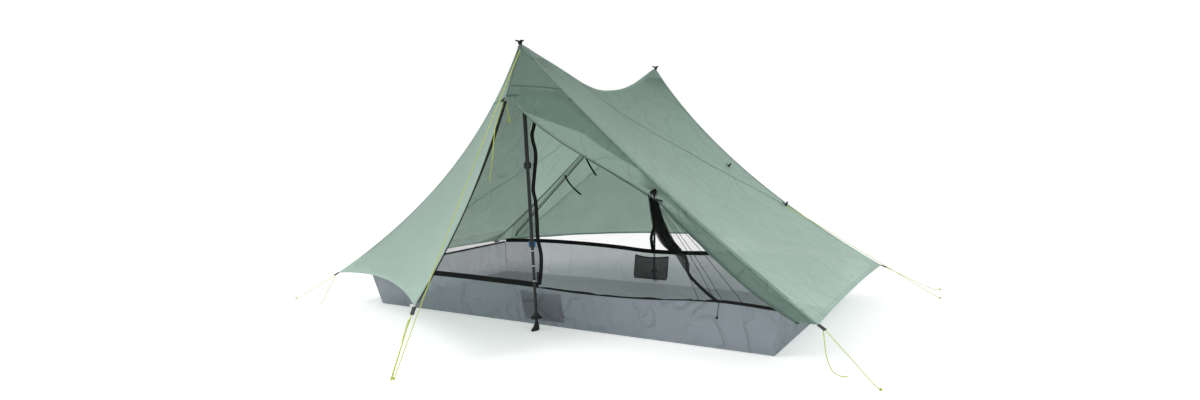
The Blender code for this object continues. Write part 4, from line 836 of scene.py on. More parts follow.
def add_mesh(name, points, faces, cuts=None, sharp=40):
    """A mesh object with smooth faces, and where each corner lies on its cut."""
    mesh = bpy.data.meshes.new(name)
    mesh.from_pydata([tuple(p) for p in points], [], faces)
    if cuts:
        layer = mesh.uv_layers.new(name="cut")
        for loop in mesh.loops:
            layer.data[loop.index].uv = cuts[loop.vertex_index]
    mesh.shade_smooth()
    mesh.set_sharp_from_angle(angle=math.radians(sharp))
    made = bpy.data.objects.new(name, mesh)
    bpy.context.collection.objects.link(made)
    return made


def grid(name, rows, thickness=0.0):
    """A sheet from rows of points, on request with a thickness."""
    points, cuts, faces = [], [], []
    width = len(rows[0])
    for i, row in enumerate(rows):
        for j, point in enumerate(row):
            points.append(point)
            along = cuts[-1][0] + (point - row[j - 1]).length if j else 0.0
            down = cuts[(i - 1) * width + j][1] + (point - rows[i - 1][j]).length if i else 0.0
            cuts.append((along, down))
            if i and j:
                k = i * width + j
                faces.append((k - width - 1, k - width, k, k - 1))
    made = add_mesh(name, points, faces, cuts, 60)
    if thickness:
        shape = bmesh.new()
        shape.from_mesh(made.data)
        bmesh.ops.solidify(shape, geom=shape.faces[:], thickness=thickness)
        bmesh.ops.recalc_face_normals(shape, faces=shape.faces)
        shape.to_mesh(made.data)
        shape.free()
    return made


def piece(name, rows, finish, body="tent", thickness=0.0):
    """A small sheet that is sewn on, from rows of its points."""
    return finished(grid(name, rows, thickness), finish, body)


def cloth(name, rows, finish, body="tent", nodes=(), held="stretched", rests_on=(), with_pieces=()):
    """A sheet of cloth from rows of its points; the size that it was cut to is worked out from them."""
    made = finished(grid(name, rows), finish, body, nodes)
    flat, area = cut_size(rows)
    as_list(rests_on)
    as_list(with_pieces)
    return made


def strip(name, middle, across, width, finish, thickness=0.0009, body="tent", nodes=(), columns=2):
    """A flat tape along a line of points, as wide as width across one direction or one for each point."""
    ways = across if isinstance(across, list) else [across] * len(middle)
    rows = [[place + way * width * (j / (columns - 1) - 0.5) for place, way in zip(middle, ways)]
            for j in range(columns)]
    return finished(grid(name, rows, thickness), finish, body, nodes)


def binding(name, line, lift, width, body="tent"):
    """A narrow upright tape along an edge, with its middle a little above or below it."""
    return strip(name, [p + Z * lift for p in line], Z, width, TAPE, BINDING, body)


def ring_faces(count, sides):
    """Faces between rings of points, with closed ends."""
    faces = []
    for start in range(0, (count - 1) * sides, sides):
        for j in range(sides):
            a, b = start + j, start + (j + 1) % sides
            faces.append((a, b, b + sides, a + sides))
    return faces + [tuple(reversed(range(sides))), tuple(range((count - 1) * sides, count * sides))]


def tube(name, points, radius, finish, sides=8):
    """A round cord or rod along points, with closed ends."""
    rings, cuts = [], []
    previous = Z
    distance = 0.0
    for k, place in enumerate(points):
        ahead = (points[min(k + 1, len(points) - 1)] - points[max(k - 1, 0)]).normalized()
        if k == 0 and abs(ahead.z) > 0.9:
            previous = X
        previous = (previous - ahead * previous.dot(ahead)).normalized()
        side = ahead.cross(previous)
        distance += (place - points[k - 1]).length if k else 0.0
        size = radius[k] if isinstance(radius, list) else radius
        for j in range(sides):
            angle = math.tau * j / sides
            rings.append(place + (previous * math.cos(angle) + side * math.sin(angle)) * size)
            cuts.append((distance, size * angle))
    return finished(add_mesh(name, rings, ring_faces(len(points), sides), cuts, 50), finish)


def repaint(node, finish):
    """Give a model's own solid a finish."""
    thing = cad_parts[node]
    for place in thing.material_slots:
        place.material = finish.material
    if not thing.material_slots:
        thing.data.materials.append(finish.material)


# Camera, light and floor

def stand_camera():
    """The camera at the photograph's place and angle."""
    yaw, pitch, roll = (math.radians(angle) for angle in CAMERA_ANGLES)
    ahead = Vector((math.sin(yaw) * math.cos(pitch), math.cos(yaw) * math.cos(pitch), math.sin(pitch)))
    level = Vector((math.cos(yaw), -math.sin(yaw), 0))
    up = level.cross(ahead)
    right = math.cos(roll) * level + math.sin(roll) * up
    up = -math.sin(roll) * level + math.cos(roll) * up
    lens = bpy.data.cameras.new("camera")
    lens.sensor_width = 36
    lens.lens = CAMERA_LENS * lens.sensor_width
    made = bpy.data.objects.new("camera", lens)
    bpy.context.collection.objects.link(made)
    turned = Matrix((right, up, -ahead)).transposed().to_4x4()
    made.matrix_world = Matrix.Translation(CAMERA_PLACE) @ turned
    bpy.context.scene.camera = made


def soft_lamp(name, place, aim, size, power):
    """A large soft lamp that looks at a point."""
    lamp = bpy.data.lights.new(name, "AREA")
    lamp.shape = "DISK"
    lamp.size = size
    lamp.energy = power
    made = bpy.data.objects.new(name, lamp)
    bpy.context.collection.objects.link(made)
    made.matrix_world = Matrix.Translation(place) @ (
        (Vector(aim) - Vector(place)).to_track_quat("-Z", "Y").to_matrix().to_4x4())


def light_scene():
    """A pale dome, two soft lamps, and a pale floor that keeps the tent's shadow."""
    world = bpy.data.worlds.new("sky")
    bpy.context.scene.world = world
    world.use_nodes = True
    tree = world.node_tree
    lit, white = tree.nodes["Background"], tree.nodes.new("ShaderNodeBackground")
    for node, strength in ((lit, SKY_STRENGTH), (white, 1.0)):
        node.inputs["Color"].default_value = (1, 1, 1, 1)
        node.inputs["Strength"].default_value = strength
    path, seen, both = (tree.nodes.new("ShaderNode" + kind) for kind in ("LightPath", "Math", "MixShader"))
    seen.operation = "MAXIMUM"
    for given, taken in (
            (path.outputs["Is Camera Ray"], seen.inputs[0]), (path.outputs["Is Transmission Ray"], seen.inputs[1]),
            (seen.outputs[0], both.inputs[0]), (lit.outputs[0], both.inputs[1]), (white.outputs[0], both.inputs[2]),
            (both.outputs[0], tree.nodes["World Output"].inputs["Surface"])):
        tree.links.new(given, taken)
    soft_lamp("key", (-2.6, -4.2, 4.6), (0, 0, 0.5), 3.0, 130)
    soft_lamp("fill", (4.5, 1.0, 3.5), (0, 0, 0.4), 3.0, 45)
    ground = Finish("floor", None, Roughness=0.9, Specular_IOR_Level=0.1, Emission_Strength=1.0)
    seen = ground.add("ShaderNodeLightPath", output="Is Camera Ray")
    ground.set({
        "Base_Color": ground.blend((0.87, 0.87, 0.87, 1), (0.90, 0.90, 0.90, 1), ground.clouds(3.0, 2.0)),
        "Emission_Color": ground.blend((0, 0, 0, 1), (0.325, 0.325, 0.325, 1), seen),
    })
    reach, low = 30, -0.0015
    floor = add_mesh("floor", [(x * reach, y * reach, low) for x, y in ((-1, -1), (1, -1), (1, 1), (-1, 1))],
                     [(0, 1, 2, 3)])
    floor.data.materials.append(ground.material)


# Outer tent

def slope_rows(us, vs, hand, lift=0.0):
    """Rows of places on an end slope."""
    return [[slope_place(u, v, hand, lift) for v in vs] for u in us]


def door_rows(ts, ws, hand, side, lift=0.0):
    """Rows of places on a door."""
    return [[door_place(t, w, hand, side, lift) for w in ws] for t in ts]


def end_slope(hand, label):
    """An end slope with its hem and the patches at its corners and peaks."""
    name, vs = "slope_" + label, shares(SLOPE_COLUMNS)
    pieces = [piece(name + "_hem", slope_rows((0.988, 1.0), vs, hand, HEM_LIFT), HEM)]
    corner = [(1 - 0.075 * (1 - k), 0.16 * k + 0.002) for k in shares(PATCH_STEPS)]
    peak = [(0.004 + 0.055 * k, 0.12 * (1 - k) + 0.004) for k in shares(5)]
    for v0, (_, end) in enumerate(SIDES):
        for place, shape, finish in (("corner", corner, HEM), ("peak", peak, PATCH)):
            rows = [[slope_place(u, abs(v0 - reach * j), hand, PATCH_LIFT) for j in shares(PATCH_STEPS)]
                    for u, reach in shape]
            pieces.append(piece(f"{name}_{end}_{place}_patch", rows, finish))
    cloth(name + "_cloth", slope_rows([0.004] + shares(SLOPE_ROWS)[1:], vs, hand), LEFT_SHADED_FILM if hand < 0 else FILM,
          nodes=[name], rests_on=["near_pole_grip", "far_pole_grip"], with_pieces=pieces)


def seam_cover(name, hand, side):
    """Doubled cloth over the seam between a slope and a door, folded over its line."""
    ts, rows = shares(DOOR_ROWS, 0.01, 1.0), []
    for width in (0.016, 0.008):
        v = width / (2 * CORNER_REACH_Y)
        rows.append([slope_place(t, v if side > 0 else 1 - v, hand * side, COVER_LIFT) for t in ts])
    rows.append([turn(seam(t, hand) + seam_offset(t, hand, side).normalized() * PATCH_LIFT, side) for t in ts])
    rows.append([door_place(t, 0.008 + 0.006 * (1 - t), hand, side, COVER_LIFT) for t in ts])
    piece(name, rows, DOUBLED)


def ridge_cover():
    """Doubled cloth along the ridge."""
    vs = shares(SLOPE_COLUMNS)
    left, right = (slope_rows((0.014, 0.010), vs, hand, 0.0008) for hand in (-1, 1))
    top = [slope_place(0.0, v, 1) + Z * PATCH_LIFT for v in vs]
    piece("ridge_seam", left + [top] + right[::-1], DOUBLED)


def pegged_door(name, side):
    """The door half that is pegged out, with its hem, its patches and the flap beside its zip."""
    ws = shares(DOOR_COLUMNS)
    flap = [[door_place(t, w, -1, side, -0.0014) for w in shares(3, 1 - 0.030 / (0.2 + t), 1.0)]
            for t in shares(40, 0.24, 0.995)]
    pieces = [piece(name + "_hem", door_rows((0.986, 1.0), ws, -1, side, HEM_LIFT), HEM),
              piece(name + "_flap", flap, DOUBLED)]
    for label, edge, high, wide in (("corner", 0, 0.10, 0.12), ("peg", 1, 0.13, 0.20)):
        rows = [[door_place(1 - high * (1 - k), abs(edge - wide * k * j), -1, side, PATCH_LIFT)
                 for j in shares(PATCH_STEPS)] for k in shares(PATCH_STEPS)]
        pieces.append(piece(f"{name}_{label}_patch", rows, HEM))
    cloth(name + "_cloth", door_rows([0.006] + shares(DOOR_ROWS)[1:], ws, -1, side),
          DOOR_FILM if side > 0 else FAR_FILM, nodes=[name], rests_on=["slope_left_cloth"], with_pieces=pieces)


def hood(side, label):
    """The doubled hood over the top of the zip, on the open half's side."""
    name, tip, ws = label + "_hood_cloth", STOP * TIP_SHARE, shares(HOOD_COLUMNS)
    own, under = (DOOR_FILM, SHADED) if side > 0 else (FAR_FILM, FAR_FILM)
    pieces = [piece(f"{name}_{part}", door_rows(ts, ws, hand, side, lift), finish)
              for part, ts, hand, lift, finish in (
                  ("lining", [0.008] + shares(HOOD_ROWS, 0, tip * 0.80)[1:], 1, -0.0030, LINING),
                  ("hem", (tip * 0.975, tip), 1, PATCH_LIFT, SEAM),
                  ("band", (tip * 0.80, tip * 0.82), 1, PATCH_LIFT, SEAM),
                  ("tuck", (tip * 0.86, tip * 0.95, tip * 1.03), 1, -0.005, under),
                  ("zip_side", [0.008] + shares(HOOD_ROWS, 0, tip)[1:], -1, PATCH_LIFT, own),
                  ("zip_side_hem", (tip * 0.95, tip), -1, 0.0022, DOUBLED))]
    edge = [turn(door_middle(t, side) + Vector((0, -0.0016, 0.0012)), side) for t in shares(24, 0.012, tip)]
    pieces.append(strip(name + "_edge", edge, turn(door_arc(side)[3], side), 0.011, SEAM, 0.0006, columns=3))
    wedge = [[door_place(0.008 + 0.060 * k, 0.75 * j * (1 - k), 1, side, 0.0016) for j in shares(PATCH_STEPS)]
             for k in shares(PATCH_STEPS)[:-1]]
    pieces.append(piece(name + "_wedge", wedge, PATCH))
    cloth(name, door_rows([0.006] + shares(HOOD_ROWS, 0, tip)[1:], ws, 1, side), SHADED,
          rests_on=[label + "_pole_grip"], with_pieces=pieces)


def far_fixed_half():
    """The far door cloth above the free half's fold line."""
    rows = []
    for t in shares(40, STOP, 1.0):
        edge = fold_point((t - STOP) / (1 - STOP), -1) - fold_across(-1) * FOLD_GAP / 2
        stitch = door_point(t, 0, 1, -1)
        rows.append([turn(edge.lerp(stitch, w), -1) for w in shares(6)])
    lift = turn(fold_normal(-1), -1) * PATCH_LIFT
    reach = turn(fold_across(-1), -1)
    cover = [[row[0] + reach * wide + lift for row in rows] for wide in (-0.004, 0.0, 0.009)]
    fold = piece("far_door_fold_cover", cover, FAR_FILM)
    cloth("far_door_upper_cloth", rows, FAR_FILM, rests_on=["slope_left_cloth"], with_pieces=[fold])


def free_far_door():
    """The far door half that opens, with its hem."""
    rows = []
    shift = fold_across(-1) * FOLD_GAP / 2
    normal = fold_normal(-1)
    peg = door_edge(1, 1, -1)
    for a in shares(48):
        fold = fold_point(0.03 + a * 0.97, -1) + shift
        edge = door_edge(STOP + 0.03 + a * (0.97 - STOP), 1, -1)
        row = []
        for b in shares(32):
            w = FOLD_END_SHARE + b * (1 - FOLD_END_SHARE)
            straight = door_hem(FOLD_END_SHARE, 1, -1).lerp(peg, b)
            place = fold.lerp(edge, b) + a * (door_hem(w, 1, -1) - straight)
            ripple = 0.0035 * unevenness((place.x * 2, place.y, place.z), 0.3, 4.4)
            ripple += fan_folds(place, peg, X, 16, 0.22, 0.0045)
            row.append(turn(place + normal * ripple * min(1, 10 * b, 12 * (1 - b)), -1))
        rows.append(row)
    lift = turn(normal, -1) * HEM_LIFT
    hem = [[b.lerp(a, share) + lift for a, b in zip(rows[-2], rows[-1])] for share in (0.75, 0)]
    band = piece("far_door_free_hem", hem, HEM, "far_storm_door")
    cloth("far_door_free_cloth", rows, FAR_FILM, "far_storm_door", ["storm_door_far_left"], with_pieces=[band])


def roll_radius(t):
    """Radius of the rolled door along its seam: thinner where the toggle's loop draws it in."""
    size = reading(zip(ROLL_SHARES, ROLL_SIZE_SHARES), t)
    tied = 1 - 0.28 * math.exp(-((t - 0.6) / 0.016) ** 2)
    lumps = 1 + 0.05 * math.sin(41 * t) + 0.03 * math.sin(97 * t + 1)
    return ROLL_RADIUS * size * tied * lumps


def rolled_door():
    """The open near door half: hung from its seam and rolled up from its zip edge. Its cut is measured from
    the line where the roll starts."""
    rows, flat = [], []
    for t in [STOP - 0.035, STOP - 0.018] + shares(110, STOP, 1.0):
        stitch = door_point(t, 0, 1, 1)
        edge = reading(zip(ROLL_SHARES, ROLL_EDGE_SHARES), t)
        start = door_point(t, edge, 1, 1)
        down = (start - stitch).normalized()
        normal = upward_normal(lambda a, b: door_point(a, b, 1, 1), t, edge)
        normal = (normal - down * normal.dot(down)).normalized()
        radius = roll_radius(t)
        start -= normal * (0.004 if t < STOP else 0.0)
        row = [stitch - normal * 0.003]
        for k in range(1, FLAT_COLUMNS):
            pulled = 1 - abs(unevenness((t * 5, k * 0.16, 0), 0.22, 2.2))
            sag = (0.010 * pulled - 0.009) * math.sin(math.pi * k / FLAT_COLUMNS)
            row.append(stitch.lerp(start, k / FLAT_COLUMNS) + normal * sag)
        flat.append(path_length(row + [start]))
        middle = start - normal * radius
        for k in range(2 * ROLL_COLUMNS + 1):
            angle = math.tau * k / ROLL_COLUMNS
            out = normal * math.cos(angle) + down * math.sin(angle)
            reach = radius * (1 - 0.11 * k / ROLL_COLUMNS) * (1 + 0.05 * math.sin(3 * angle + 9 * t))
            reach *= 1 + 0.10 * unevenness((t * 6, angle * 0.12, k // ROLL_COLUMNS), 0.16, 5.0)
            row.append(middle + out * reach)
        rows.append(row)
    made = cloth("rolled_door_cloth", rows, ROLLED, nodes=["storm_door_near_right"], held="gathered",
                 rests_on=["slope_right_cloth", "door_toggle"])
    cut = made.data.uv_layers["cut"]
    for loop in made.data.loops:
        cut.data[loop.index].uv.x -= flat[loop.vertex_index // len(rows[0])]


def zip_coil(name, middle, across, out, body="tent"):
    """Two rows of small teeth that mesh along a line of points."""
    points, faces = [], []
    for k, (place, ahead) in enumerate(zip(middle, middle[1:])):
        hand = 1 if k % 2 else -1
        along = (ahead - place) * 0.36
        centre = place + across * hand * 0.0009
        wide = across * 0.0021
        for height in (0.0, 0.0011):
            for a, b in ((-1, -1), (1, -1), (1, 1), (-1, 1)):
                shrink = 1 if not height else 0.7
                points.append(centre + along * a * shrink + wide * b * shrink + out * height)
        n = len(points) - 8
        faces += [(n + 4, n + 5, n + 6, n + 7), (n, n + 3, n + 2, n + 1)]
        faces += [(n + i, n + (i + 1) % 4, n + 4 + (i + 1) % 4, n + 4 + i) for i in range(4)]
    return finished(add_mesh(name, points, faces, None, 30), COIL, body)


def storm_zip(name, side):
    """The zip tape down the middle of the doors, with its teeth."""
    across = turn(door_arc(side)[3], side)
    ts = shares(ZIP_STEPS["storm"], STOP + 1 - TIP_SHARE, TIP_SHARE)
    middle = [turn(door_middle(t, side), side) for t in ts]
    ahead = (middle[-1] - middle[0]).normalized()
    out = across.cross(ahead).normalized()
    out = out if out.z > 0 else -out
    ways = []
    for t in ts[::5]:
        turned = OPEN_TAPE_TURN * max(0, min(1, (0.62 - t) / 0.2)) if side > 0 else 0.0
        ways.append((across * math.cos(turned) - out * math.sin(turned)) * (1 + 0.25 * turned / OPEN_TAPE_TURN))
    strip(name + "_tape", [p - out * 0.0002 for p in middle[::5]], ways, STORM_TAPE_WIDTH, TAPE, 0.0009,
          nodes=[name], columns=5)
    zip_coil(name + "_teeth", [p + out * 0.0006 for p in middle], across, out)


# Tub and mesh walls

def floor_place(x, y, held=1.0):
    """A place on the tub's floor, which lies in soft bulges."""
    return Vector((x, y, FLOOR_LIFT + 0.0035 * max(0, 0.5 + unevenness((x, y * 1.5, 0), 0.16, 6.1)) * held))


def floor_tub():
    """The tub: a thin grey film floor with leaning walls and a soft fold between them."""
    half_x, half_y = FLOOR_LENGTH / 2, FLOOR_WIDTH / 2
    ring = [(way, s) for way, first in (((0, -1), -1), ((1, 0), -1), ((0, 1), 1), ((-1, 0), 1))
            for s in shares(TUB_COLUMNS[abs(way[0])], first, -first)[:-1]]
    rows = []
    for level in shares(TUB_ROWS)[::-1]:
        row = []
        for (right, far), s in ring:
            if far:
                top = turn(wall_top(-far * s * HALF_LENGTH, -far), -far)
                foot = Vector((s * half_x, far * half_y, 0))
            else:
                top = Vector((right * HALF_LENGTH, s * (half_y + WALL_LEAN), WALL_HEIGHT))
                foot = Vector((right * half_x, s * half_y, 0))
            place = foot.lerp(top, level)
            corner = 1 - abs(s)
            free = min(1, corner * 9) * min(1, (1 - level) * 5) * min(1, level * 6)
            if far:
                free *= 1 - 0.9 * math.exp(-(place.x / 0.15) ** 4)
            diagonal = math.sin((place.x + place.y) * 21 + place.z * 34)
            dent = 0.0060 * unevenness((place.x, place.y, place.z * 1.6), 0.13, 1.7)
            dent += 0.0026 * diagonal * (0.4 + 0.6 * abs(unevenness(place, 0.5, 8.0)))
            dent += 0.0050 * (0.3 - abs(unevenness((place.x * 0.8 + place.z, place.y * 0.8, place.z * 2), 0.07, 4.0)))
            dent -= 0.005 * math.exp(-(corner / 0.05) ** 2) * arch(level)
            row.append(place - Vector((right, far, 0)) * (SHEET / 2 - dent * free) + Z * FLOOR_LIFT)
        rows.append(row + [row[0]])
    for inset in (0.004, 0.018, 0.05, 0.11, 0.20, 0.32, 0.42, FLOOR_RIM):
        row = [floor_place((s if far else right) * (half_x - inset), (far or s) * (half_y - inset),
                           min(1, inset / 0.02)) for (right, far), s in ring]
        rows.append(row + [row[0]])
    cloth("floor_tub_cloth", rows, TUB_FILM, nodes=["floor_tub"], held="laid", rests_on=["floor"])


def floor_middle():
    """The middle of the floor, which closes the tub."""
    half_x, half_y = FLOOR_LENGTH / 2 - FLOOR_RIM, FLOOR_WIDTH / 2 - FLOOR_RIM
    rows = [[floor_place(x, y) for x in shares(72, -half_x, half_x)] for y in shares(4, -half_y, half_y)]
    cloth("floor_middle_cloth", rows, TUB_FILM, held="laid", rests_on=["floor_tub_cloth"])


def zip_shift(z, side):
    """Sideways wave of an upright zip at a height, near frame."""
    return reading(NEAR_ZIP_WAVE, z) if side > 0 else -reading(FAR_ZIP_WAVE, z)


def mesh_rows(xs, hand, side, low_edge, high_edge):
    """A mesh wall between two edges, drawn sideways with the zip and sagging a little."""
    rows = []
    for share in shares(MESH_ROWS):
        row = []
        for x in xs:
            place = low_edge(x).lerp(high_edge(x), share)
            near_zip = max(0, 1 - (abs(x) - UPRIGHT_TAPE / 2) / 0.30)
            ripple = 0.006 * unevenness((x * 1.6, place.z * 0.8, side * hand), 0.22, 3.0)
            ripple += 0.003 * math.sin(x * 55 + 6 * share) * math.exp(-share / 0.12)
            place.x += zip_shift(place.z, side) * near_zip ** 2
            place.y += ripple * min(1, 5 * share, 5 * (1 - share))
            row.append(turn(place, side))
        rows.append(row)
    return rows


def mesh_wall(name, side, node):
    """The closed half of a mesh wall with its bound top edge, and on the far side the strip over the door."""
    last = abs(seam(MESH_END_SHARE, -1).x)
    rows = mesh_rows([-x for x in shares(MESH_COLUMNS, MESH_START, last)], -1, side,
                     lambda x: sill_rise(SILL_TAPE - 0.002, side, x), lambda x: mesh_top(x, -1, side))
    pieces = [binding(name + "_binding", rows[-1], -0.006, 0.009)]
    if side < 0:
        lows = []
        xs = shares(MESH_COLUMNS, UPRIGHT_TAPE / 2 + GAP, last)
        for x in xs:
            sill = sill_rise(SILL_TAPE, side, x)
            edge = fold_line(x, 1) + Z * FOLD_GAP / 2
            lows.append(edge if edge.z > sill.z and x < MESH_DOOR_LENGTH else sill)
        upper = [[turn(low.lerp(mesh_top(x, 1, side), share), side) for x, low in zip(xs, lows)]
                 for share in shares(2)]
        pieces += [piece(name + "_over_door", upper, NET),
                   binding(name + "_over_door_binding", upper[0], 0.004, 0.006)]
    cloth(name + "_cloth", rows, NEAR_NET if side > 0 else NET, nodes=[node], held="hung",
          rests_on=SLOPES, with_pieces=pieces)


def mesh_door():
    """The far mesh door half that opens, bound along its fold."""
    rows = mesh_rows(shares(MESH_COLUMNS, MESH_START, MESH_DOOR_LENGTH), 1, -1,
                     lambda x: sill_rise(SILL_TAPE + 0.003 * x / MESH_DOOR_LENGTH, -1, x),
                     lambda x: fold_line(x, 1) - Z * FOLD_GAP / 2)
    edge = binding("mesh_door_binding", rows[-1], -0.007, 0.010, "far_mesh_door")
    cloth("mesh_door_cloth", rows, NET, "far_mesh_door", ["mesh_far_left"], "hung", with_pieces=[edge])


def gathered_mesh():
    """The open near mesh half, drawn together at the toggle and hanging in pleats."""
    tops, edges = [], []
    for t, free in GATHER_SHARES:
        top = mesh_top(seam(t, 1).x, 1, 1)
        edge = top + Vector((0, SHEET, -STRIP_WIDTH))
        if free:
            x = free[0] * HALF_LENGTH
            edge = sill_rise(OPEN_SILL_TAPE, 1, x).lerp(Vector((x, top.y, GATHER_TOP)), free[1])
        tops.append(top)
        edges.append(edge)
    rows = []
    for k, (top, edge) in enumerate(zip(smooth_path(tops, 6), smooth_path(edges, 6))):
        drop = (top - edge).length
        depth = min(0.012, drop / 14)
        row = []
        for w in shares(40):
            pleat = depth * (1 - math.cos(math.tau * 5 * w + 0.5 * math.sin(k * 0.21)))
            uneven = 0.006 * unevenness((k * 0.03, w * 0.5, 0), 0.25, 1.3) * min(1, drop / 0.1)
            row.append(top.lerp(edge, w) + Vector((0.4 * uneven, pleat + uneven * arch(w), 0)))
        rows.append(row)
    pieces = [strip("gathered_mesh_binding", [row[-1] for row in rows], Vector((0.75, 0, 0.66)), 0.014, TAPE),
              binding("gathered_mesh_top_binding", [row[0] for row in rows], -0.005, 0.009)]
    cloth("gathered_mesh_cloth", rows, NET, nodes=["mesh_near_right"], held="gathered",
          rests_on=["slope_right_cloth", "door_toggle"], with_pieces=pieces)


def mesh_bunch():
    """The thick folds of the gathered mesh under the toggle, the pulled creases below it and the pull cord."""
    middle = smooth_path([(x, -0.598, z) for x, z in BUNCH_PATH], 8)
    steps = shares(len(middle) - 1)
    for layer in range(3):
        rows = []
        for k, (place, step) in enumerate(zip(middle, steps)):
            width = reading(zip(shares(4), BUNCH_WIDTHS), step)
            row = []
            for s in shares(18, -0.5, 0.5):
                fold = 0.010 * math.sin(math.tau * (3 + layer) * s + layer * 2 + k * 0.09)
                fold += 0.004 * unevenness((k * 0.05, s, layer), 0.4)
                row.append(place + Vector((s * width * (1 - 0.12 * layer), fold + 0.004 * layer,
                                           s * width * 0.55)))
            rows.append(row)
        cloth(f"mesh_bunch_{layer}", rows, DENSE_NET, held="gathered", rests_on=["door_toggle"])
    tail = [[Vector((x0, TOGGLE_Y, z0)).lerp(Vector((x1, -0.597, z1)), q) for q in shares(6)]
            for (x0, z0), (x1, z1) in BUNCH_TAIL]
    cloth("mesh_bunch_tail", tail, POCKET_NET, held="gathered", rests_on=["door_toggle"])
    for k, x in enumerate(CREASE_FEET):
        foot = sill_rise(OPEN_SILL_TAPE, 1, x)
        head = Vector((0.628 + 0.008 * k, TOGGLE_Y, 0.575))
        line = smooth_path([head, head.lerp(foot, 0.5) + Vector((0.004, 0.004, 0.004)), foot], 10)
        strip(f"mesh_crease_{k}", line, Vector((0.8, 0, 0.6)), 0.0022, DENSE_NET, 0.0005)
    small_cord("mesh_pull", [(x, TOGGLE_Y, z) for x, z in PULL_PATH], TAPE, 0.0015, knotted=True)


def end_mesh(hand, label):
    """The low mesh strip between an end wall of the tub and the slope above it."""
    x = hand * (HALF_LENGTH - SHEET / 2)
    reach = FLOOR_WIDTH / 2 + WALL_LEAN - SHEET
    low = [Vector((x, y, WALL_HEIGHT - 0.004)) for y in shares(48, -reach, reach)]
    high = [under_cloth(CLOTHS[1], foot, SHEET / 2 + CLOTH_CLEARANCE) for foot in low]
    rows = [[a.lerp(b, share) + X * 0.002 * unevenness((share, a.y, hand), 0.1) * arch(share)
             for a, b in zip(low, high)] for share in shares(5)]
    sill = binding(label + "_end_mesh_sill", [p + X * hand * 0.001 for p in low], 0.006, 0.012)
    cloth(label + "_end_mesh_cloth", rows, NET, nodes=["mesh_end_" + label], held="hung",
          rests_on=SLOPES, with_pieces=[sill])


def mesh_zip(side, label):
    """Sill tapes and the waving upright zip of a mesh wall. The near right sill tape is open and narrow."""
    name = label + "_mesh_zip"
    left, right = (1.35 * SILL_TAPE, 1.3 * OPEN_SILL_TAPE) if side > 0 else (1.2 * SILL_TAPE, 1.2 * SILL_TAPE)
    for hand, width in ((-1, left), (1, right)):
        is_open = side > 0 and hand > 0
        rows = []
        for share in shares(4):
            row = []
            for x in [hand * x for x in shares(70, 0, HALF_LENGTH - 0.003)]:
                loose = is_open and x < LOOSE_SILL_END
                turned = 0.30 + 0.70 * abs(math.sin(x * 8.5 + 0.8 * math.sin(x * 21))) if loose else 1.0
                place = wall_top(x, side).lerp(sill_rise(width * turned, side, x), share)
                pucker = 0.0016 * math.sin(x * 120 + 40 * unevenness((x, 0, side), 0.3)) * arch(share)
                place.y -= 0.0008 - pucker
                if is_open:
                    place.z += (0.004 * math.sin(x * 9) * arch(share) + 0.003 * unevenness((x, 1, 0), 0.12)) * share
                row.append(turn(place, side))
            rows.append(row)
        piece(f"{name}_sill_{'left' if hand * side < 0 else 'right'}", rows, TAPE, thickness=BINDING)
    foot = sill_rise(SILL_TAPE - 0.004, side, 0)
    high = Vector((0, -FOLD_REACH_IN - 0.001, FOLD_HEIGHT_IN))
    middle = []
    for share in shares(ZIP_STEPS["mesh"]):
        place = foot.lerp(high, share)
        place.x += zip_shift(place.z, side)
        middle.append(turn(place, side))
    strip(name + "_upright_tape", middle[::3], X, UPRIGHT_TAPE * 0.95, TAPE, BINDING,
          nodes=["mesh_zip_" + label], columns=5)
    out = Y * -side
    zip_coil(name + "_teeth", [p + out * 0.0009 for p in middle], X, out)


def pocket(side, label):
    """A mesh pocket on the inside of a long wall, with bound edges and a loose mouth."""
    name = label + "_pocket"
    lean = Vector((0, -WALL_LEAN, WALL_HEIGHT)).normalized()
    into = Vector((0, WALL_HEIGHT, WALL_LEAN)).normalized()
    foot = Vector((0, -FLOOR_WIDTH / 2, 0)) + into * (SHEET + GAP + 0.0022)
    high = WALL_HEIGHT - WALL_WAVE - POCKET_DROP
    low = high - POCKET_HEIGHT
    rows = []
    for level in shares(14):
        row = []
        for s in shares(24, -1, 1):
            round_off = 1 - 0.06 * max(0, 1 - level * 6) ** 2
            belly = (1 - s ** 8) * min(1, 8 * level) * (0.55 + 0.45 * level)
            deep = POCKET_DEPTH * belly * (0.85 + 0.15 * unevenness((s, level, side), 0.4))
            sag = 0.012 * arch(s / 2 + 0.5) * level ** 4
            row.append(turn(foot + lean * (low + (high - low) * level - sag) + into * deep
                            + X * s * POCKET_WIDTH / 2 * round_off, side))
        rows.append(row)
    up = turn(lean, side)
    pieces = [strip(f"{name}_{edge}_binding", line, way, width, TAPE, BINDING) for edge, line, way, width in (
        ("mouth", rows[-1], up, 0.008), ("foot", rows[0], up, 0.0035),
        ("left", [row[0] for row in rows], X, 0.0035), ("right", [row[-1] for row in rows], X, 0.0035))]
    cloth(name + "_cloth", rows, POCKET_NET, nodes=["pocket_" + label], held="hung",
          rests_on=["floor_tub_cloth"], with_pieces=pieces)


# Poles, fittings and lines

def lathe(name, profile, finish, nodes, stand):
    """A turned piece from (radius, height) points about its own axis, with closed ends."""
    sides = 32
    angles = [math.tau * j / sides for j in range(sides)]
    points = [stand @ Vector((radius * math.cos(angle), radius * math.sin(angle), height))
              for radius, height in profile for angle in angles]
    return finished(add_mesh(name, points, ring_faces(len(profile), sides), None, 45), finish, nodes=nodes)


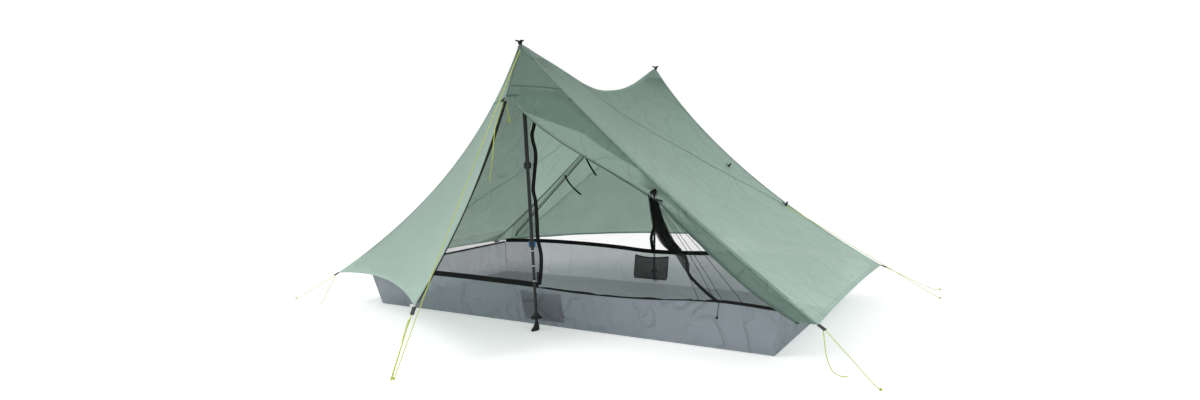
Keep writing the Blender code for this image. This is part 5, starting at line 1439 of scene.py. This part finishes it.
def pole(side, label):
    """The foam of one trekking pole's grip, bored for the tube, and its parts' finishes."""
    foot = turn(Vector(POLE_FOOT), side)
    top = turn(ridge_point(POLE_TIP_RADIUS / PEAK_REACH) - Z * (SHEET / 2 / MITRE_LIMIT + GAP), side)
    length = (top - foot).length
    axis = (top - foot).normalized()
    across = (X * side - axis * side * axis.x).normalized()
    stand = Matrix.Translation(foot) @ Matrix((across, axis.cross(across), axis)).transposed().to_4x4()
    for part, finish in POLE_FINISHES.items():
        repaint(f"{label}_pole_{part}", finish)
    low, high = length - GRIP_LOW, length - GRIP_HIGH
    profile = [(TUBE_BORE, high - 0.0002), (TUBE_BORE, low), (0.0118, low), (0.0122, low + 0.003)]
    for k in range(28):
        height = low + 0.006 + (high - low - 0.020) * k / 27
        waist = 0.0128 + 0.0020 * math.cos(math.tau * (height - low) / 0.11)
        profile.append((waist + (0.0007 if k % 2 else 0.0), height))
    profile += [(0.0146, high - 0.006), (0.0150, high), (0.0142, high + 0.010), (0.0118, high + 0.022),
                (0.0075, high + 0.031), (0.0026, length - 0.0012)]
    lathe(label + "_grip_foam", profile, FOAM, [label + "_pole_grip"], stand)


def knot(name, place, along, finish, size=0.0042):
    """A small overhand knot."""
    along = along.normalized()
    side = along.orthogonal().normalized()
    up = along.cross(side)
    points = []
    for k in range(25):
        a = math.tau * k / 24
        radius = size * (0.62 + 0.30 * math.cos(3 * a))
        points.append(place + along * size * 0.8 * math.sin(3 * a)
                      + (side * math.cos(2 * a) + up * math.sin(2 * a)) * radius)
    return tube(name, points, CORD * 0.5, finish)


def guy_lines():
    """Every line of the tent, with a knot where it meets its peg and plain ends on the loose tails."""
    loose = {"near_left_tail": "loose", "near_right_tail": "loose", "door_loose_line": "hanging",
             "near_door_line": "loose"}
    for name, route in ROUTES.items():
        path = smooth_path(route)
        curve = bpy.data.curves.new(name + "_cord", "CURVE")
        curve.dimensions = "3D"
        curve.bevel_depth = CORD / 2
        curve.bevel_resolution = 3
        curve.use_fill_caps = True
        spline = curve.splines.new("POLY")
        spline.points.add(len(path) - 1)
        for slot, place in zip(spline.points, path):
            slot.co = (*place, 1)
        made = bpy.data.objects.new(name + "_cord", curve)
        bpy.context.collection.objects.link(made)
        finished(made, LIME, nodes=[name])
        buckle = "buckle_" + name.replace("_corner", "").replace("_line", "")
        pieces = [buckle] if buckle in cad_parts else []
        if name not in loose:
            pieces.append(knot(name + "_knot", path[-1] + Z * 0.003, path[-1] - path[-2], LIME))
        path_length(path)


def bar(name, place, way, length, radius):
    """A small toggle bar with rounded ends."""
    way = way.normalized()
    shape = ((-0.5, 0.45), (-0.44, 0.85), (-0.3, 1.0), (0.3, 1.0), (0.44, 0.85), (0.5, 0.45))
    tube(name, [place + way * length * step for step, _ in shape], [radius * size for _, size in shape], HARD,
         sides=12)


def small_cord(name, points, finish, radius=0.0011, knotted=False):
    """A short thin cord that hangs through some points."""
    path = smooth_path(points, 6)
    made = tube(name, path, radius, finish)
    pieces = [knot(name + "_knot", path[-1], path[-1] - path[-2], finish, 0.005)] if knotted else []
    path_length(path)


def peak_tabs(side, label):
    """Two short webbing ends that stand off a peak."""
    peak = turn(PEAK, side)
    for end, hand, lift in (("left", -1, 0.011), ("right", 1, 0.014)):
        line = [peak + Vector((hand * reach, 0, height)) for reach, height in (
            (0.001, -0.005), (0.005, lift * 0.6), (0.010, lift * 0.95), (0.018, lift))]
        strip(f"{label}_peak_tab_{end}", smooth_path(line), Y, 0.016, TAPE, 0.0050, columns=4)


def slope_seam(name, hand, table):
    """The narrow seam where an end slope's cloth is joined, drawn tight towards its mid tab."""
    line = smooth_path([(u, v, 0) for u, v in table], 14)
    piece(name, [[slope_place(q.x, q.y + wide, hand, 0.0011) for q in line] for wide in (-0.0026, 0.0026)], SEAM)


def slope_tab(name, place, normal, reach):
    """A black webbing tab sewn on a slope: two legs that spread from its loop."""
    place, normal = Vector(place), Vector(normal).normalized()
    level = Z.cross(normal).normalized()
    rise = normal.cross(level)
    for end, hand in (("a", -1), ("b", 1)):
        line = [place + normal * 0.004, place + normal * 0.008 + level * hand * reach * 0.5 + rise * reach * 0.3,
                place + normal * 0.014 + level * hand * reach + rise * reach * 0.5]
        strip(f"{name}_{end}", smooth_path(line), rise, 0.009, TAPE, 0.0030, columns=3)


def trim():
    """Tabs, toggles, the bow and the short cords that finish the tent."""
    for side, label in SIDES:
        peak_tabs(side, label)
    slope_seam("slope_right_middle_seam", 1, ((0.003, 0.375), (0.178, 0.575), (0.314, 0.70), (0.4965, 0.835),
                                              (0.6927, 0.9611)))
    slope_seam("slope_left_middle_seam", -1, ((0.003, 0.80), (0.2694, 0.5771), (0.4297, 0.4372), (0.5916, 0.3482),
                                              (0.6826, 0.3313)))
    slope_tab("right_slope_tab", (0.8352, 0.5374, 0.4920), (0.608, -0.098, 0.788), 0.032)
    slope_tab("right_slope_upper_tab", (0.5457, 0.4486, 0.7079), (0.624, -0.185, 0.759), 0.022)
    slope_tab("left_slope_tab", (-0.8211, -0.196, 0.4763), (-0.61, 0.10, 0.78), 0.026)
    slope_tab("left_slope_upper_tab", (-0.5359, -0.1772, 0.6801), (-0.62, 0.18, 0.76), 0.022)
    for side, label in SIDES:
        bar(label + "_hood_toggle", turn(Vector((-0.0401, -0.7563, 1.0500)), side),
            turn(Vector((0.60, 0.36, 0.70)), side), 0.024, 0.0042)
    small_cord("hood_bow_left", ((0.004, -0.784, 1.029), (0.007, -0.782, 1.0036), (0.0104, -0.780, 0.958),
                                 (-0.0067, -0.780, 0.9417)), LIME)
    small_cord("hood_bow_right", ((0.001, -0.785, 1.029), (0.003, -0.784, 1.000), (0.0095, -0.782, 0.962),
                                  (0.0263, -0.780, 0.9448)), LIME)
    knot("hood_bow_knot", Vector((0.009, -0.783, 0.960)), Z, LIME, 0.0055)
    small_cord("tub_corner_cord", ((-1.1270, 0.5740, 0.187), (-1.1200, 0.5680, 0.150), (-1.1225, 0.5690, 0.110),
                                   (-1.1120, 0.5600, 0.070), (-1.1130, 0.5605, 0.035)), TAPE, 0.0014)
    bar("tub_corner_toggle", Vector((-1.150, 0.520, 0.203)), Vector((0.3, 1, 0.1)), 0.030, 0.0040)
    low, high = (Vector(corner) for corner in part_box("buckle_near_door"))
    top = Vector(((low.x + high.x) / 2, (low.y + high.y) / 2 - 0.002, high.z + 0.006))
    level = Vector((0.857, 0.515, 0))
    strip("near_peg_tab", [top + level * reach for reach in (-0.010, 0, 0.010)], Vector((0, 0.3, 0.95)), 0.011,
          PALE_TAPE, 0.0015, columns=3)


def tie_strap(label, bend):
    """A tie strap inside the far seam, as folded webbing."""
    name = "tie_strap_" + label
    ends = sorted((v.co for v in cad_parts[name].data.vertices), key=lambda p: p.z)
    foot, root = sum(ends[:4], Vector()) / 4, sum(ends[-4:], Vector()) / 4
    down = Vector((0.45, 0.08, -0.9)).normalized()
    across = Vector((-down.z, 0, down.x)).cross(down).normalized()
    middle = [root + (foot - root) * s * 1.75 + Vector((s * s * bend, 0.004 * math.sin(3 * s), s * s * bend * 0.20))
              for s in shares(16)]
    strip(name + "_webbing", middle, across.cross(down).normalized(), 0.012, TAPE, 0.0012, "strap_" + label, [name],
          4)


POLE_FINISHES = {
    "upper_tube": SHAFT, "middle_tube": SHAFT, "lower_tube": MARKED_SHAFT, "upper_lever": HARD,
    "lower_lever": BLUE, "basket": HARD, "foot": RUBBER,
}

stand_camera()
light_scene()
guy_lines()
for hand, label in ((-1, "left"), (1, "right")):
    end_slope(hand, label)
pegged_door("storm_door_near_left", 1)
pegged_door("storm_door_far_right", -1)
for side, label in SIDES:
    hood(side, label)
far_fixed_half()
free_far_door()
rolled_door()
seam_cover("near_left_seam", -1, 1)
seam_cover("near_right_seam", 1, 1)
seam_cover("far_left_seam", 1, -1)
seam_cover("far_right_seam", -1, -1)
ridge_cover()
for side, label in SIDES:
    storm_zip("storm_zip_" + label, side)
floor_tub()
floor_middle()
mesh_wall("near_left_mesh", 1, "mesh_near_left")
mesh_wall("far_right_mesh", -1, "mesh_far_right")
mesh_door()
gathered_mesh()
mesh_bunch()
for hand, label in ((-1, "left"), (1, "right")):
    end_mesh(hand, label)
for build in (mesh_zip, pocket, pole):
    for side, label in SIDES:
        build(side, label)
tie_strap("upper", 0.030)
tie_strap("lower", 0.070)
trim()
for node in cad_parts:
    if node.startswith(("buckle_", "slider_")) or node == "door_toggle":
        repaint(node, HARD)
bpy.context.scene.view_settings.view_transform = "Standard"
